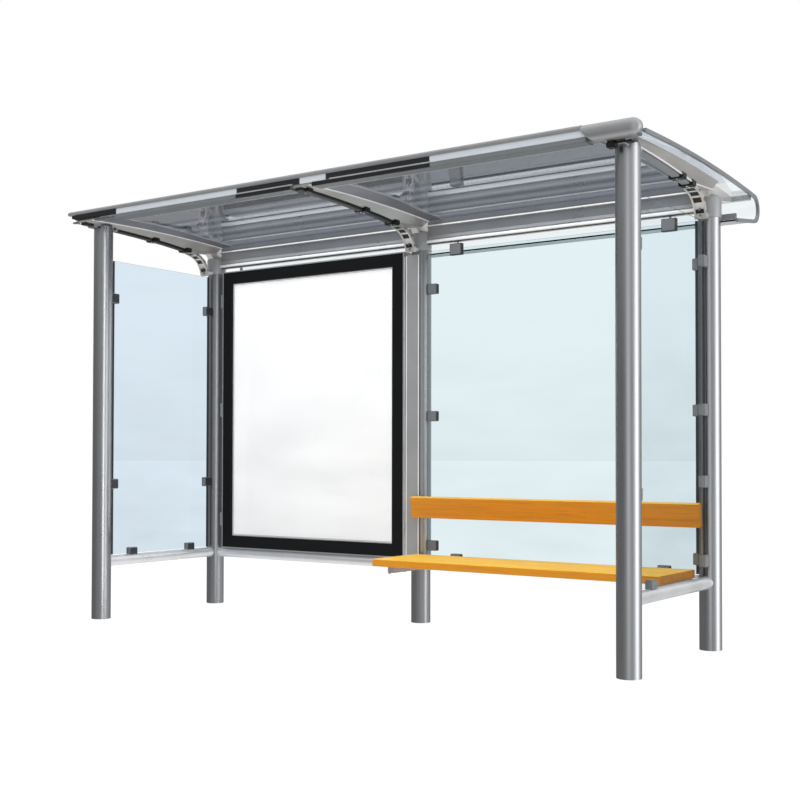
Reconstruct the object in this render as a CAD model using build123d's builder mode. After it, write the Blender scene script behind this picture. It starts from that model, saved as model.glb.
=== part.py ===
"""Bus shelter with round posts, a clear roof, glass screens, a poster case and a bench.

Millimetres. X runs along the shelter, the open front faces -Y, Z is up. The
origin is on the ground, at the middle of the roof's length and depth.
"""
import os
from math import asin, cos, radians, sin, sqrt, tan

from build123d import *

os.makedirs("parts", exist_ok=True)

# ---------------------------------------------------------------- posts and rails
post_d = 114.3
post_wall = 3.6
bay_left = 1668.0
bay_right = 1784.0
post_depth = 989.0
front_post_clear = 25.0
rear_post_clear = 73.0
rail_d = 63.5
rail_wall = 3.0
rail_z = 343.0

# ---------------------------------------------------------------- roof
roof_overhang = 131.0
roof_radius = 11600.0
roof_apex_z = 2413.0
roof_apex_behind = 263.0
sheet_t = 8.0
sheet_joint = 6.0
nose_r = 71.0
nose_behind = 316.0
lip_angle = 7.4
lip_gap = 1.0
trim_w = 14.0
trim_proud = 5.0

# ---------------------------------------------------------------- roof front edge
front_reach = 160.0
bead_d = 25.0
bead_rise = 34.7
bead_wall = 2.5
fascia_t = 6.0
purlin_gap = 3.0
purlin_h = 24.0
purlin_wall = 3.0
cap_len = 280.0
cap_depth = 78.0
cap_proud = 5.0
cap_over_bead = 1.0
cap_nose = 36.0
cap_round = 30.0

# ---------------------------------------------------------------- ribs and castings
rib_w = 57.0
rib_h = 50.0
rib_bar_w = 36.0
rib_bar_h = 30.0
rib_start = 80.0
rib_back_gap = 212.0
collar_t = 5.0
collar_h = 104.0
casting_w = 46.0
haunch_drop = 21.0
haunch_reach = 58.0
haunch_bow = 28.0
shoulder_back = 40.0
shoulder_h = 30.0
tail_gap = 8.0
tail_w = 12.0
rear_purlin_back = 48.0
rear_purlin_w = 28.0
rear_purlin_h = 27.0
nose_strip_t = 18.0
nose_strip_h = 30.0
head_w = 64.0
head_drop = 76.0
wing_len = 100.0
wing_t = 24.0
clamp_len = 60.0
clamp_h = 24.0
clamp_w = 44.0
clamp_places = (263.0, 55.0)

# ---------------------------------------------------------------- rear beam
beam_h = 135.0
beam_clear = 8.0
beam_t = 40.0
beam_wall = 4.0
beam_lip = 12.0
beam_hollow = 14.0
beam_waist = 57.0
beam_bead_r = 12.0

# ---------------------------------------------------------------- glass screens
glass_t = 8.0
glass_sill_gap = 5.25
side_glass_drop = 4.0
side_glass_gap = 24.0
rear_glass_drop = 39.0
rear_glass_gap = 14.0
clip_len = 66.0
clip_h = 60.0
clip_t = 34.0
clip_narrow = 36.0
clip_bite = 6.0
side_clip_up = 432.0
side_clip_down = 231.0
rear_clip_up = 77.0
rear_clip_down = 226.0
clip_below_middle = 70.0
corner_clip_up = 477.0
sill_clip_rise = 72.0
sill_clip_in = 245.0
rear_clip_in = 250.0
hanger_clip_h = 73.0

# ---------------------------------------------------------------- poster case
case_gap_left = 54.0
case_gap_right = 45.0
case_drop = 39.0
case_t = 104.0
case_skin = 3.0
case_edge = 8.0
frame_w = 75.0
frame_t = 22.0
frame_proud = 6.0
glazing_t = 5.0
poster_t = 4.0
channel_w = 97.0
channel_t = 14.0
channel_wall = 3.0
channel_lap = 5.0
spacer_h = 90.0
spacer_t = 30.0
channel_drop = 8.0
spacer_in = 180.0

# ---------------------------------------------------------------- bench
plank_w = 142.0
plank_t = 40.0
plank_gap = 5.0
plank_round = 5.0
seat_end_gap = 42.0
seat_back_gap = 50.0
back_end_gap = 12.0
back_h = 122.0
back_z = 686.0
back_clear = 1.5
back_tilt = 10.0
bracket_tube = 40.0
bracket_wall = 3.0
bracket_in = 68.0
bracket_setback = 80.0
bracket_rise = 29.0
stub_w = 34.0
stub_h = 70.0
stub_in = (54.0, 40.0)
stub_short = 15.0

# ---------------------------------------------------------------- places worked out from these
post_r = post_d / 2
rail_r = rail_d / 2
collar_r = post_r + collar_t
x_left = -(bay_left + bay_right) / 2
x_mid = x_left + bay_left
x_right = x_mid + bay_right
roof_x = x_right + roof_overhang

bead_r = bead_d / 2
front_most = front_reach + bead_r + cap_proud
rear_most = post_depth + nose_behind + nose_r + trim_proud
y_front = front_most - (front_most + rear_most) / 2
y_rear = y_front + post_depth
y_apex = y_front + roof_apex_behind
y_nose = y_rear + nose_behind
y_bead = y_front - front_reach

y_post_face = y_rear - post_r

roof_centre_z = roof_apex_z - roof_radius
nose_turn = asin((y_nose - y_apex) / (roof_radius - nose_r))
z_nose = roof_centre_z + (roof_radius - nose_r) * cos(nose_turn)
lip_y = y_rear + collar_r + lip_gap


def roof_z(y, under=0.0):
    """Height of the roof sheet at y, or of the surface that far under its top."""
    radius = roof_radius - under
    return roof_centre_z + sqrt(radius**2 - (y - y_apex) ** 2)


def roof_path(under, y_start):
    """Points of the roof line that far under the sheet's outer face, front to lip."""
    r = nose_r - under
    dip = radians(lip_angle)
    start = (y_start, roof_z(y_start, under))
    top = (y_nose + r * sin(nose_turn), z_nose + r * cos(nose_turn))
    middle = ((y_start + top[0]) / 2, roof_z((y_start + top[0]) / 2, under))
    back = (y_nose + r, z_nose)
    low = (y_nose + r * sin(dip), z_nose - r * cos(dip))
    end = (lip_y, low[1] - (low[0] - lip_y) * tan(dip))
    return start, middle, top, back, low, end


def roof_band(x, over, under, y_start):
    """Face across the shelter at x, between two lines of the roof."""
    outer = roof_path(over, y_start)
    inner = roof_path(under, y_start)
    with BuildSketch(side_plane(x)) as band:
        with BuildLine():
            for start, middle, top, back, low, end in (outer, inner):
                ThreePointArc(start, middle, top)
                ThreePointArc(top, back, low)
                Line(low, end)
            Line(outer[0], inner[0])
            Line(outer[-1], inner[-1])
        make_face()
    return band.sketch


def side_plane(x):
    """Plane across the shelter at x: its local axes are the shelter's Y and Z."""
    return Plane(origin=(x, 0, 0), x_dir=(0, 1, 0), z_dir=(1, 0, 0))


def save(part, label):
    """Label a finished piece and write it under its own name."""
    part.label = label
    export_step(part, f"parts/{label}.step")


# Everything above the rails hangs its height on the roof.
front_post_top = roof_z(y_front, sheet_t) - front_post_clear
rear_post_top = roof_z(y_rear, sheet_t) - rear_post_clear
bead_z = roof_z(y_bead) + bead_rise
beam_top = roof_z(y_rear, sheet_t) - beam_clear
beam_bottom = beam_top - beam_h
collar_bottom = rear_post_top - collar_h
haunch_tip_z = collar_bottom - haunch_drop

# ================================================================ posts
posts = {
    "post_front_left": (x_left, y_front, front_post_top),
    "post_front_right": (x_right, y_front, front_post_top),
    "post_rear_left": (x_left, y_rear, rear_post_top),
    "post_rear_mid": (x_mid, y_rear, rear_post_top),
    "post_rear_right": (x_right, y_rear, rear_post_top),
}
for label, (x, y, top) in posts.items():
    with BuildPart() as post:
        with BuildSketch():
            with Locations((x, y)):
                Circle(post_r)
                Circle(post_r - post_wall, mode=Mode.SUBTRACT)
        extrude(amount=top)
    save(post.part, label)


def post_cores(places, r=post_r):
    """Cut full-height cylinders of a post's outside at these places."""
    with Locations([(x, y, 0) for x, y in places]):
        Cylinder(
            r,
            bead_z,
            align=(Align.CENTER, Align.CENTER, Align.MIN),
            mode=Mode.SUBTRACT,
        )


# ================================================================ low rails
cross_rails = {"rail_left": x_left, "rail_right": x_right}
for label, x in cross_rails.items():
    with BuildPart() as rail:
        with BuildSketch(Plane(origin=(x, y_front, rail_z), z_dir=(0, 1, 0))):
            Circle(rail_r)
            Circle(rail_r - rail_wall, mode=Mode.SUBTRACT)
        extrude(amount=post_depth)
        post_cores([(x, y_front), (x, y_rear)])
    save(rail.part, label)

long_rails = {"rail_rear_left": (x_left, x_mid), "rail_rear_right": (x_mid, x_right)}
for label, (x_from, x_to) in long_rails.items():
    with BuildPart() as rail:
        with BuildSketch(Plane(origin=(x_from, y_rear, rail_z), z_dir=(1, 0, 0))):
            Circle(rail_r)
            Circle(rail_r - rail_wall, mode=Mode.SUBTRACT)
        extrude(amount=x_to - x_from)
        post_cores([(x_from, y_rear), (x_to, y_rear)])
    save(rail.part, label)

# ================================================================ rear beam
# A hollow aluminium section: a rounded bead at its foot, a shallow hollow in its
# front face and a small lip along the top.
y_beam_front = y_rear - beam_t / 2
y_beam_back = y_rear + beam_t / 2
beams = {"rear_beam_left": (x_left, x_mid), "rear_beam_right": (x_mid, x_right)}
for label, (x_from, x_to) in beams.items():
    with BuildPart() as beam:
        with BuildSketch(side_plane(x_from)):
            with BuildLine():
                Line((y_beam_back, beam_bottom), (y_beam_back, beam_top))
                Line((y_beam_back, beam_top), (y_beam_front, beam_top))
                Line((y_beam_front, beam_top), (y_beam_front, beam_top - beam_lip))
                ThreePointArc(
                    (y_beam_front, beam_top - beam_lip),
                    (y_beam_front + beam_hollow, beam_top - beam_waist),
                    (y_beam_front + beam_hollow / 2, beam_bottom + 3 * beam_bead_r),
                )
                ThreePointArc(
                    (y_beam_front + beam_hollow / 2, beam_bottom + 3 * beam_bead_r),
                    (y_beam_front - beam_bead_r / 2, beam_bottom + 2 * beam_bead_r),
                    (y_beam_front + beam_hollow / 2, beam_bottom + beam_bead_r),
                )
                Line(
                    (y_beam_front + beam_hollow / 2, beam_bottom + beam_bead_r),
                    (y_beam_front, beam_bottom + beam_bead_r / 2),
                )
                Line((y_beam_front, beam_bottom + beam_bead_r / 2), (y_beam_front, beam_bottom))
                Line((y_beam_front, beam_bottom), (y_beam_back, beam_bottom))
            make_face()
            with BuildLine():
                Polyline(
                    (y_beam_back - beam_wall, beam_bottom + beam_wall),
                    (y_beam_back - beam_wall, beam_top - beam_wall),
                    (y_beam_front + beam_hollow + beam_wall, beam_top - beam_wall),
                    (y_beam_front + beam_hollow + beam_wall, beam_bottom + beam_wall),
                    close=True,
                )
            make_face(mode=Mode.SUBTRACT)
        extrude(amount=x_to - x_from)
        post_cores([(x_from, y_rear), (x_to, y_rear)], r=collar_r)
    save(beam.part, label)

# ================================================================ roof front edge
purlin_top = roof_z(y_bead, sheet_t)
purlin_bottom = purlin_top - purlin_h
y_purlin_back = y_front - post_r - purlin_gap
cap_inner_x = roof_x - cap_len

with BuildPart() as front_bead:
    with BuildSketch(side_plane(-cap_inner_x)):
        with Locations((y_bead, bead_z)):
            Circle(bead_r)
            Circle(bead_r - bead_wall, mode=Mode.SUBTRACT)
    extrude(amount=2 * cap_inner_x)
save(front_bead.part, "front_bead")

# The clear strip under the bead stands on the purlin, just ahead of the sheet.
with BuildPart() as front_fascia:
    with BuildSketch(side_plane(-cap_inner_x)):
        with Locations((y_bead, (purlin_top + bead_z) / 2)):
            Rectangle(fascia_t, bead_z - purlin_top)
        with Locations((y_bead, bead_z)):
            Circle(bead_r, mode=Mode.SUBTRACT)
    extrude(amount=2 * cap_inner_x)
save(front_fascia.part, "front_fascia")

y_cap_front = y_bead - bead_r - cap_proud
y_cap_back = y_cap_front + cap_depth
cap_top = bead_z + bead_r + cap_over_bead
cap_y = (y_cap_front + y_cap_back) / 2
cap_z = (purlin_bottom + cap_top) / 2
cap_drop = cap_top - roof_z(y_cap_back)


def cut_for_caps():
    """Cut the room of both cast end pieces out of the piece being made."""
    for side in (-1, 1):
        with Locations((side * (cap_inner_x + cap_len / 2), cap_y, cap_z)):
            Box(cap_len, cap_depth, cap_top - purlin_bottom, mode=Mode.SUBTRACT)


# The purlin runs on behind the end pieces, which take its front corners' room.
x_purlin = roof_x - trim_w
with BuildPart() as front_purlin:
    with BuildSketch(side_plane(-x_purlin)):
        y_purlin_front = y_bead - fascia_t
        with Locations(((y_purlin_front + y_purlin_back) / 2, (purlin_bottom + purlin_top) / 2)):
            purlin_size = (y_purlin_back - y_purlin_front, purlin_h)
            Rectangle(*purlin_size)
            Rectangle(*(size - 2 * purlin_wall for size in purlin_size), mode=Mode.SUBTRACT)
    extrude(amount=2 * x_purlin)
    cut_for_caps()
save(front_purlin.part, "front_purlin")

# Cast end pieces close the front edge; each is drawn in to a rounded nose.
for label, side in {"front_cap_left": -1, "front_cap_right": 1}.items():
    x_cap = side * (cap_inner_x + cap_len / 2)
    with BuildPart() as cap:
        with BuildSketch(side_plane(x_cap)):
            with BuildLine():
                Polyline(
                    (y_cap_back, purlin_bottom),
                    (y_cap_front, purlin_bottom),
                    (y_cap_front, cap_top),
                    (y_cap_back, cap_top - cap_drop),
                    close=True,
                )
            outline = make_face()
            fillet(outline.vertices().group_by(Axis.Y)[0], cap_round)
        extrude(amount=cap_len / 2, both=True)
        # Seen from above and from the front, the outer end is drawn to a nose.
        with BuildSketch(Plane.XY.offset(purlin_bottom)):
            with Locations((x_cap, cap_y)):
                above = Rectangle(cap_len, cap_depth)
            fillet(above.vertices().group_by(Axis.X)[-1 if side > 0 else 0], cap_nose)
        extrude(amount=cap_top - purlin_bottom, mode=Mode.INTERSECT)
        with BuildSketch(Plane(origin=(x_cap, y_cap_back, cap_z), x_dir=(1, 0, 0), z_dir=(0, -1, 0))):
            ahead = Rectangle(cap_len, cap_top - purlin_bottom)
            fillet(ahead.vertices().group_by(Axis.X)[-1 if side > 0 else 0], cap_nose)
        extrude(amount=cap_depth, mode=Mode.INTERSECT)
    save(cap.part, label)

# ================================================================ roof sheets and trims
y_sheet_front = y_bead + fascia_t / 2
sheets = {
    "roof_sheet_left": (-x_purlin, x_mid - sheet_joint / 2),
    "roof_sheet_right": (x_mid + sheet_joint / 2, x_purlin),
}
for label, (x_from, x_to) in sheets.items():
    with BuildPart() as sheet:
        extrude(roof_band(x_from, 0.0, sheet_t, y_sheet_front), amount=x_to - x_from)
        cut_for_caps()
    save(sheet.part, label)

# Side trims follow the sheet's edge round the nose; a short bar on each, behind the
# end post, holds the corner of the sheet's lower lip.
lip_top_z = roof_path(sheet_t, y_sheet_front)[-1][1]
strip_z = lip_top_z + nose_strip_t * tan(radians(lip_angle))
x_strip = x_right - post_r / 2
for label, side in {"roof_trim_left": -1, "roof_trim_right": 1}.items():
    with BuildPart() as trim:
        outline = roof_band(side * roof_x, -trim_proud, sheet_t + trim_proud, y_cap_back)
        extrude(outline, amount=-side * trim_w)
        with Locations((side * (x_strip + x_purlin) / 2, lip_y - lip_gap, strip_z)):
            Box(
                x_purlin - x_strip,
                nose_strip_t,
                nose_strip_h,
                align=(Align.CENTER, Align.MIN, Align.MIN),
            )
    save(trim.part, label)

# ================================================================ ribs
y_rib_start = {x_left: y_front + rib_start, x_mid: y_purlin_back, x_right: y_front + rib_start}
y_rib_end = y_post_face - rib_back_gap


def arched_band(x, y_from, y_to, over, under):
    """Face across the shelter at x, between two depths under the sheet's top."""
    ends = []
    with BuildSketch(side_plane(x)) as band:
        with BuildLine():
            for depth in (over, under):
                points = [(y, roof_z(y, depth)) for y in (y_from, (y_from + y_to) / 2, y_to)]
                ThreePointArc(*points)
                ends.append(points)
            Line(ends[0][0], ends[1][0])
            Line(ends[0][-1], ends[1][-1])
        make_face()
    return band.sketch


ribs = {"rib_left": x_left, "rib_mid": x_mid, "rib_right": x_right}
rib_under = sheet_t + rib_h
bar_under = rib_under + rib_bar_h
for label, x in ribs.items():
    with BuildPart() as rib:
        box = arched_band(x, y_rib_start[x], y_rib_end, sheet_t, rib_under)
        extrude(box, amount=rib_w / 2, both=True)
        bar = arched_band(x, y_rib_start[x], y_rib_end, rib_under, bar_under)
        extrude(bar, amount=rib_bar_w / 2, both=True)
    save(rib.part, label)

# Clamps grip each rib's bar from below, and one joins the middle rib to the purlin.
with BuildPart() as rib_clamps:
    for x in ribs.values():
        for place in clamp_places:
            y = y_rib_end - place
            with Locations((x, y, roof_z(y, bar_under))):
                Box(clamp_w, clamp_len, clamp_h)
        bar = arched_band(x, y_rib_start[x], y_rib_end, sheet_t, bar_under)
        extrude(bar, amount=rib_bar_w / 2, both=True, mode=Mode.SUBTRACT)
    with Locations((x_mid, y_purlin_back, purlin_bottom)):
        Box(clamp_w, clamp_h, clamp_h, align=(Align.CENTER, Align.MAX, Align.MAX))
save(rib_clamps.part, "rib_clamps")

# ================================================================ castings on the rear posts
# A haunch runs from the rib down to a collar round the post; a thin tail behind
# it carries the bar inside the roof's rounded edge.
y_tip = y_post_face - haunch_reach
haunch_end_z = roof_z(y_rib_end, bar_under)
y_shoulder = y_post_face - shoulder_back
y_rear_purlin = y_nose - rear_purlin_back
y_collar_back = y_rear + collar_r
castings = {"rib_casting_left": x_left, "rib_casting_mid": x_mid, "rib_casting_right": x_right}
for label, x in castings.items():
    with BuildPart() as casting:
        with BuildSketch(side_plane(x)):
            with BuildLine():
                Polyline(
                    (y_rib_end, haunch_end_z),
                    (y_rib_end, roof_z(y_rib_end, sheet_t)),
                    (y_shoulder, roof_z(y_shoulder, sheet_t)),
                    (y_rear, rear_post_top + shoulder_h),
                    (y_rear + post_r, rear_post_top),
                    (y_rear + post_r, collar_bottom),
                    (y_post_face, collar_bottom),
                    (y_post_face, haunch_tip_z),
                    (y_tip, haunch_tip_z),
                )
                ThreePointArc(
                    (y_tip, haunch_tip_z),
                    (
                        (y_tip + y_rib_end) / 2 + haunch_bow,
                        (haunch_tip_z + haunch_end_z) / 2 + haunch_bow,
                    ),
                    (y_rib_end, haunch_end_z),
                )
            make_face()
        extrude(amount=casting_w / 2, both=True)
        with BuildSketch(Plane.XY.offset(collar_bottom)):
            with Locations((x, y_rear)):
                Circle(collar_r)
        extrude(amount=collar_h)
        with BuildSketch(side_plane(x)):
            with BuildLine():
                Polyline(
                    (y_rear, collar_bottom + collar_h / 2),
                    (y_collar_back, collar_bottom + collar_h / 2),
                    (y_rear_purlin, roof_z(y_rear_purlin, sheet_t) - rear_purlin_h),
                    (y_rear_purlin, roof_z(y_rear_purlin, sheet_t)),
                    (y_collar_back, roof_z(y_collar_back, sheet_t) - tail_gap),
                    (y_rear, rear_post_top + shoulder_h / 2),
                    close=True,
                )
            make_face()
        extrude(amount=tail_w / 2, both=True)
        with Locations((x, y_rear, 0)):
            Cylinder(
                post_r,
                rear_post_top,
                align=(Align.CENTER, Align.CENTER, Align.MIN),
                mode=Mode.SUBTRACT,
            )
    save(casting.part, label)

with BuildPart() as rear_purlin:
    with BuildSketch(side_plane(-x_purlin)):
        y_back = y_rear_purlin + rear_purlin_w
        z_under = roof_z(y_rear_purlin, sheet_t) - rear_purlin_h
        with BuildLine():
            Polyline(
                (y_rear_purlin, roof_z(y_rear_purlin, sheet_t)),
                (y_back, roof_z(y_back, sheet_t)),
                (y_back, z_under),
                (y_rear_purlin, z_under),
                close=True,
            )
        make_face()
    extrude(amount=2 * x_purlin)
save(rear_purlin.part, "rear_purlin")

# ================================================================ castings on the front posts
# A head block carries the purlin and the rib's end, with a wing under the purlin.
y_head_back = y_front + rib_start
heads = {"head_casting_left": (x_left, 1), "head_casting_right": (x_right, -1)}
for label, (x, inward) in heads.items():
    with BuildPart() as head:
        with BuildSketch(side_plane(x)):
            with BuildLine():
                Polyline(
                    (y_purlin_back, front_post_top),
                    (y_purlin_back, roof_z(y_purlin_back, sheet_t)),
                    (y_head_back, roof_z(y_head_back, sheet_t)),
                    (y_head_back, front_post_top - head_drop),
                    (y_front, front_post_top - head_drop),
                    (y_front, front_post_top),
                    close=True,
                )
            make_face()
        extrude(amount=head_w / 2, both=True)
        with BuildSketch(Plane(origin=(0, y_front, 0), x_dir=(1, 0, 0), z_dir=(0, -1, 0))):
            x_root = x + inward * post_r / 2
            x_end = x + inward * (post_r + wing_len)
            with BuildLine():
                Polyline(
                    (x_root, front_post_top - head_drop),
                    (x + inward * (post_r + wing_t), front_post_top - head_drop),
                    (x_end, front_post_top - wing_t / 2),
                    (x_end, roof_z(y_front - wing_t / 2, sheet_t)),
                    (x_root, roof_z(y_front - wing_t / 2, sheet_t)),
                    close=True,
                )
            make_face()
        extrude(amount=wing_t / 2, both=True)
        with Locations((x, y_front, 0)):
            Cylinder(
                post_r,
                front_post_top,
                align=(Align.CENTER, Align.CENTER, Align.MIN),
                mode=Mode.SUBTRACT,
            )
    save(head.part, label)

# ================================================================ glass screens
glass_bottom = rail_z + rail_r + glass_sill_gap
side_glass_top = haunch_tip_z - side_glass_drop
rear_glass_top = beam_bottom - rear_glass_drop
y_side_from = y_front + post_r + side_glass_gap
y_side_to = y_rear - post_r - side_glass_gap
for label, x in {"glass_left": x_left, "glass_right": x_right}.items():
    with BuildPart() as glass:
        with Locations((x, (y_side_from + y_side_to) / 2, glass_bottom)):
            Box(
                glass_t,
                y_side_to - y_side_from,
                side_glass_top - glass_bottom,
                align=(Align.CENTER, Align.CENTER, Align.MIN),
            )
    save(glass.part, label)

x_glass_from = x_mid + post_r + rear_glass_gap
x_glass_to = x_right - post_r - rear_glass_gap
with BuildPart() as glass_rear:
    with Locations(((x_glass_from + x_glass_to) / 2, y_rear, glass_bottom)):
        Box(
            x_glass_to - x_glass_from,
            glass_t,
            rear_glass_top - glass_bottom,
            align=(Align.CENTER, Align.CENTER, Align.MIN),
        )
save(glass_rear.part, "glass_rear")

# Glass clips: each grips the edge of a pane and stands on a post, a rail or the beam.
side_clip_z = (glass_bottom + side_clip_up, side_glass_top - side_clip_down)
rear_clip_z = (
    glass_bottom + rear_clip_up,
    (glass_bottom + rear_glass_top) / 2 - clip_below_middle,
    rear_glass_top - rear_clip_down,
)
corner_clip_z = (*rear_clip_z, glass_bottom + corner_clip_up)
for label, x, back_heights, sills in (
    ("clips_left", x_left, side_clip_z, (-1, 1)),
    ("clips_right", x_right, corner_clip_z, (-1,)),
):
    with BuildPart() as clips:
        grips = [(y_front + post_r + clip_len / 2 - clip_bite, z) for z in side_clip_z]
        grips += [(y_rear - post_r - clip_len / 2 + clip_bite, z) for z in back_heights]
        with Locations([(x, y, z) for y, z in grips]):
            Box(clip_t, clip_len, clip_h)
        y_middle = (y_front + y_rear) / 2
        y_sill = post_depth / 2 - sill_clip_in
        with Locations([(x, y_middle + sill * y_sill, rail_z) for sill in sills]):
            Box(clip_t, clip_len, sill_clip_rise, align=(Align.CENTER, Align.CENTER, Align.MIN))
        post_cores([(x, y_front), (x, y_rear)])
        with Locations(Location((x, (y_front + y_rear) / 2, rail_z), (90, 0, 0))):
            Cylinder(rail_r, post_depth, mode=Mode.SUBTRACT)
        with Locations((x, (y_side_from + y_side_to) / 2, glass_bottom)):
            Box(
                glass_t,
                y_side_to - y_side_from,
                side_glass_top - glass_bottom,
                align=(Align.CENTER, Align.CENTER, Align.MIN),
                mode=Mode.SUBTRACT,
            )
    save(clips.part, label)

with BuildPart() as clips_rear:
    wide_x = x_mid + post_r + clip_len / 2 - clip_bite
    narrow_x = x_right - post_r - clip_narrow / 2 + clip_bite
    with Locations([(wide_x, y_rear, z) for z in rear_clip_z]):
        Box(clip_len, clip_t, clip_h)
    with Locations([(narrow_x, y_rear, z) for z in rear_clip_z]):
        Box(clip_narrow, clip_t, clip_h)
    ends = (x_mid + rear_clip_in, x_right - rear_clip_in)
    with Locations([(x, y_rear, rail_z) for x in ends]):
        Box(clip_len, clip_t, sill_clip_rise, align=(Align.CENTER, Align.CENTER, Align.MIN))
    with Locations([(x, y_rear, beam_bottom) for x in ends]):
        Box(clip_len, clip_t, hanger_clip_h, align=(Align.CENTER, Align.CENTER, Align.MAX))
    post_cores([(x_mid, y_rear), (x_right, y_rear)])
    with Locations(Location(((x_mid + x_right) / 2, y_rear, rail_z), (0, 90, 0))):
        Cylinder(rail_r, bay_right, mode=Mode.SUBTRACT)
    with Locations(((x_glass_from + x_glass_to) / 2, y_rear, glass_bottom)):
        Box(
            x_glass_to - x_glass_from,
            glass_t,
            rear_glass_top - glass_bottom,
            align=(Align.CENTER, Align.CENTER, Align.MIN),
            mode=Mode.SUBTRACT,
        )
save(clips_rear.part, "clips_rear")

# ================================================================ poster case
# An aluminium tray holds the poster; a black frame with clear glazing closes it.
x_case_from = x_left + post_r + case_gap_left
x_case_to = x_mid - post_r - case_gap_right
case_bottom = rail_z + rail_r + case_edge
case_w = x_case_to - x_case_from
case_h = beam_bottom - case_drop - case_bottom
x_case = (x_case_from + x_case_to) / 2
z_case = case_bottom + case_h / 2
y_case_front = y_rear - case_t / 2
y_case_back = y_rear + case_t / 2
y_tray_front = y_case_front + frame_proud
y_frame_back = y_case_front + frame_t


def upright(y):
    """Vertical plane at y, facing the back, centred on the case."""
    return Plane(origin=(x_case, y, z_case), x_dir=(-1, 0, 0), z_dir=(0, 1, 0))


tray_w = case_w + 2 * case_edge
tray_h = case_h + 2 * case_edge
spacer_z = (case_bottom + spacer_in, z_case, case_bottom + case_h - spacer_in)
with BuildPart() as case_tray:
    with BuildSketch(upright(y_tray_front)):
        Rectangle(tray_w, tray_h)
    extrude(amount=y_case_back - y_tray_front)
    with BuildSketch(upright(y_tray_front)):
        Rectangle(case_w, case_h)
    extrude(amount=y_frame_back - y_tray_front, mode=Mode.SUBTRACT)
    with BuildSketch(upright(y_frame_back)):
        Rectangle(tray_w - 2 * case_skin, tray_h - 2 * case_skin)
    extrude(amount=y_case_back - case_skin - y_frame_back, mode=Mode.SUBTRACT)
    # Spacers on the tray's sides reach the posts.
    for x_from, x_to in ((x_left, x_case - tray_w / 2), (x_case + tray_w / 2, x_mid)):
        with Locations([((x_from + x_to) / 2, y_rear, z) for z in spacer_z]):
            Box(x_to - x_from, spacer_t, spacer_h)
    post_cores([(x_left, y_rear), (x_mid, y_rear)])
save(case_tray.part, "case_tray")

with BuildPart() as case_frame:
    with BuildSketch(upright(y_case_front)):
        Rectangle(case_w, case_h)
        Rectangle(case_w - 2 * frame_w, case_h - 2 * frame_w, mode=Mode.SUBTRACT)
    extrude(amount=frame_t)
save(case_frame.part, "case_frame")

with BuildPart() as case_glazing:
    with BuildSketch(upright(y_frame_back - glazing_t)):
        Rectangle(case_w - 2 * frame_w, case_h - 2 * frame_w)
    extrude(amount=glazing_t)
save(case_glazing.part, "case_glazing")

with BuildPart() as poster:
    with BuildSketch(upright(y_frame_back)):
        Rectangle(case_w - frame_w, case_h - frame_w)
    extrude(amount=poster_t)
save(poster.part, "poster")

# A shallow channel covers the gap between the case and the middle post.
x_channel = x_mid - post_r + channel_w / 2 - channel_lap
channel_h = haunch_tip_z - channel_drop - case_bottom
with BuildPart() as case_channel:
    with Locations((x_channel, y_post_face, case_bottom)):
        Box(channel_w, channel_t, channel_h, align=(Align.CENTER, Align.MAX, Align.MIN))
    with Locations((x_channel, y_post_face, case_bottom)):
        Box(
            channel_w - 2 * channel_wall,
            channel_t - channel_wall,
            channel_h,
            align=(Align.CENTER, Align.MAX, Align.MIN),
            mode=Mode.SUBTRACT,
        )
    with Locations((x_mid, y_post_face, case_bottom)):
        Box(spacer_t, channel_t - channel_wall, channel_h, align=(Align.CENTER, Align.MAX, Align.MIN))
save(case_channel.part, "case_channel")

# ================================================================ bench
seat_top = rail_z + bracket_rise + plank_t
seat_len = bay_right - 2 * seat_end_gap
planks = ("seat_plank_front", "seat_plank_middle", "seat_plank_rear")
seat_depth = len(planks) * (plank_w + plank_gap) - plank_gap
y_seat = y_post_face - seat_back_gap - seat_depth
x_bench = (x_mid + x_right) / 2
for number, label in enumerate(planks):
    y_plank = y_seat + number * (plank_w + plank_gap)
    with BuildPart() as plank:
        with Locations((x_bench, y_plank, seat_top)):
            Box(seat_len, plank_w, plank_t, align=(Align.CENTER, Align.MIN, Align.MAX))
        fillet(plank.edges().filter_by(Axis.X), plank_round)
    save(plank.part, label)

back_len = bay_right - 2 * back_end_gap
tilt = radians(back_tilt)
back_reach = plank_t / 2 * cos(tilt) + back_h / 2 * sin(tilt)
y_back = y_post_face - channel_t - back_clear - back_reach
back_plane = Plane(origin=(x_bench, y_back, back_z), x_dir=(1, 0, 0), z_dir=(0, -1, 0))
back_plane = back_plane.rotated((back_tilt, 0, 0))
with BuildPart() as backrest:
    with BuildSketch(back_plane):
        Rectangle(back_len, back_h)
    extrude(amount=plank_t / 2, both=True)
    fillet(backrest.edges().filter_by(Axis.X), plank_round)
save(backrest.part, "backrest_plank")

# Two square tubes carry the seat from the rear rail.
x_brackets = [x_bench + side * (seat_len / 2 - bracket_in) for side in (-1, 1)]
y_bracket = y_seat + bracket_setback
z_bracket = seat_top - plank_t
with BuildPart() as seat_brackets:
    for x in x_brackets:
        with Locations((x, y_bracket, z_bracket)):
            Box(
                bracket_tube,
                y_rear - y_bracket,
                bracket_tube,
                align=(Align.CENTER, Align.MIN, Align.MAX),
            )
        with Locations((x, y_bracket + bracket_wall, z_bracket - bracket_wall)):
            Box(
                bracket_tube - 2 * bracket_wall,
                y_rear - y_bracket,
                bracket_tube - 2 * bracket_wall,
                align=(Align.CENTER, Align.MIN, Align.MAX),
                mode=Mode.SUBTRACT,
            )
    with Locations(Location((x_bench, y_rear, rail_z), (0, 90, 0))):
        Cylinder(rail_r, bay_right, mode=Mode.SUBTRACT)
save(seat_brackets.part, "seat_brackets")

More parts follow.
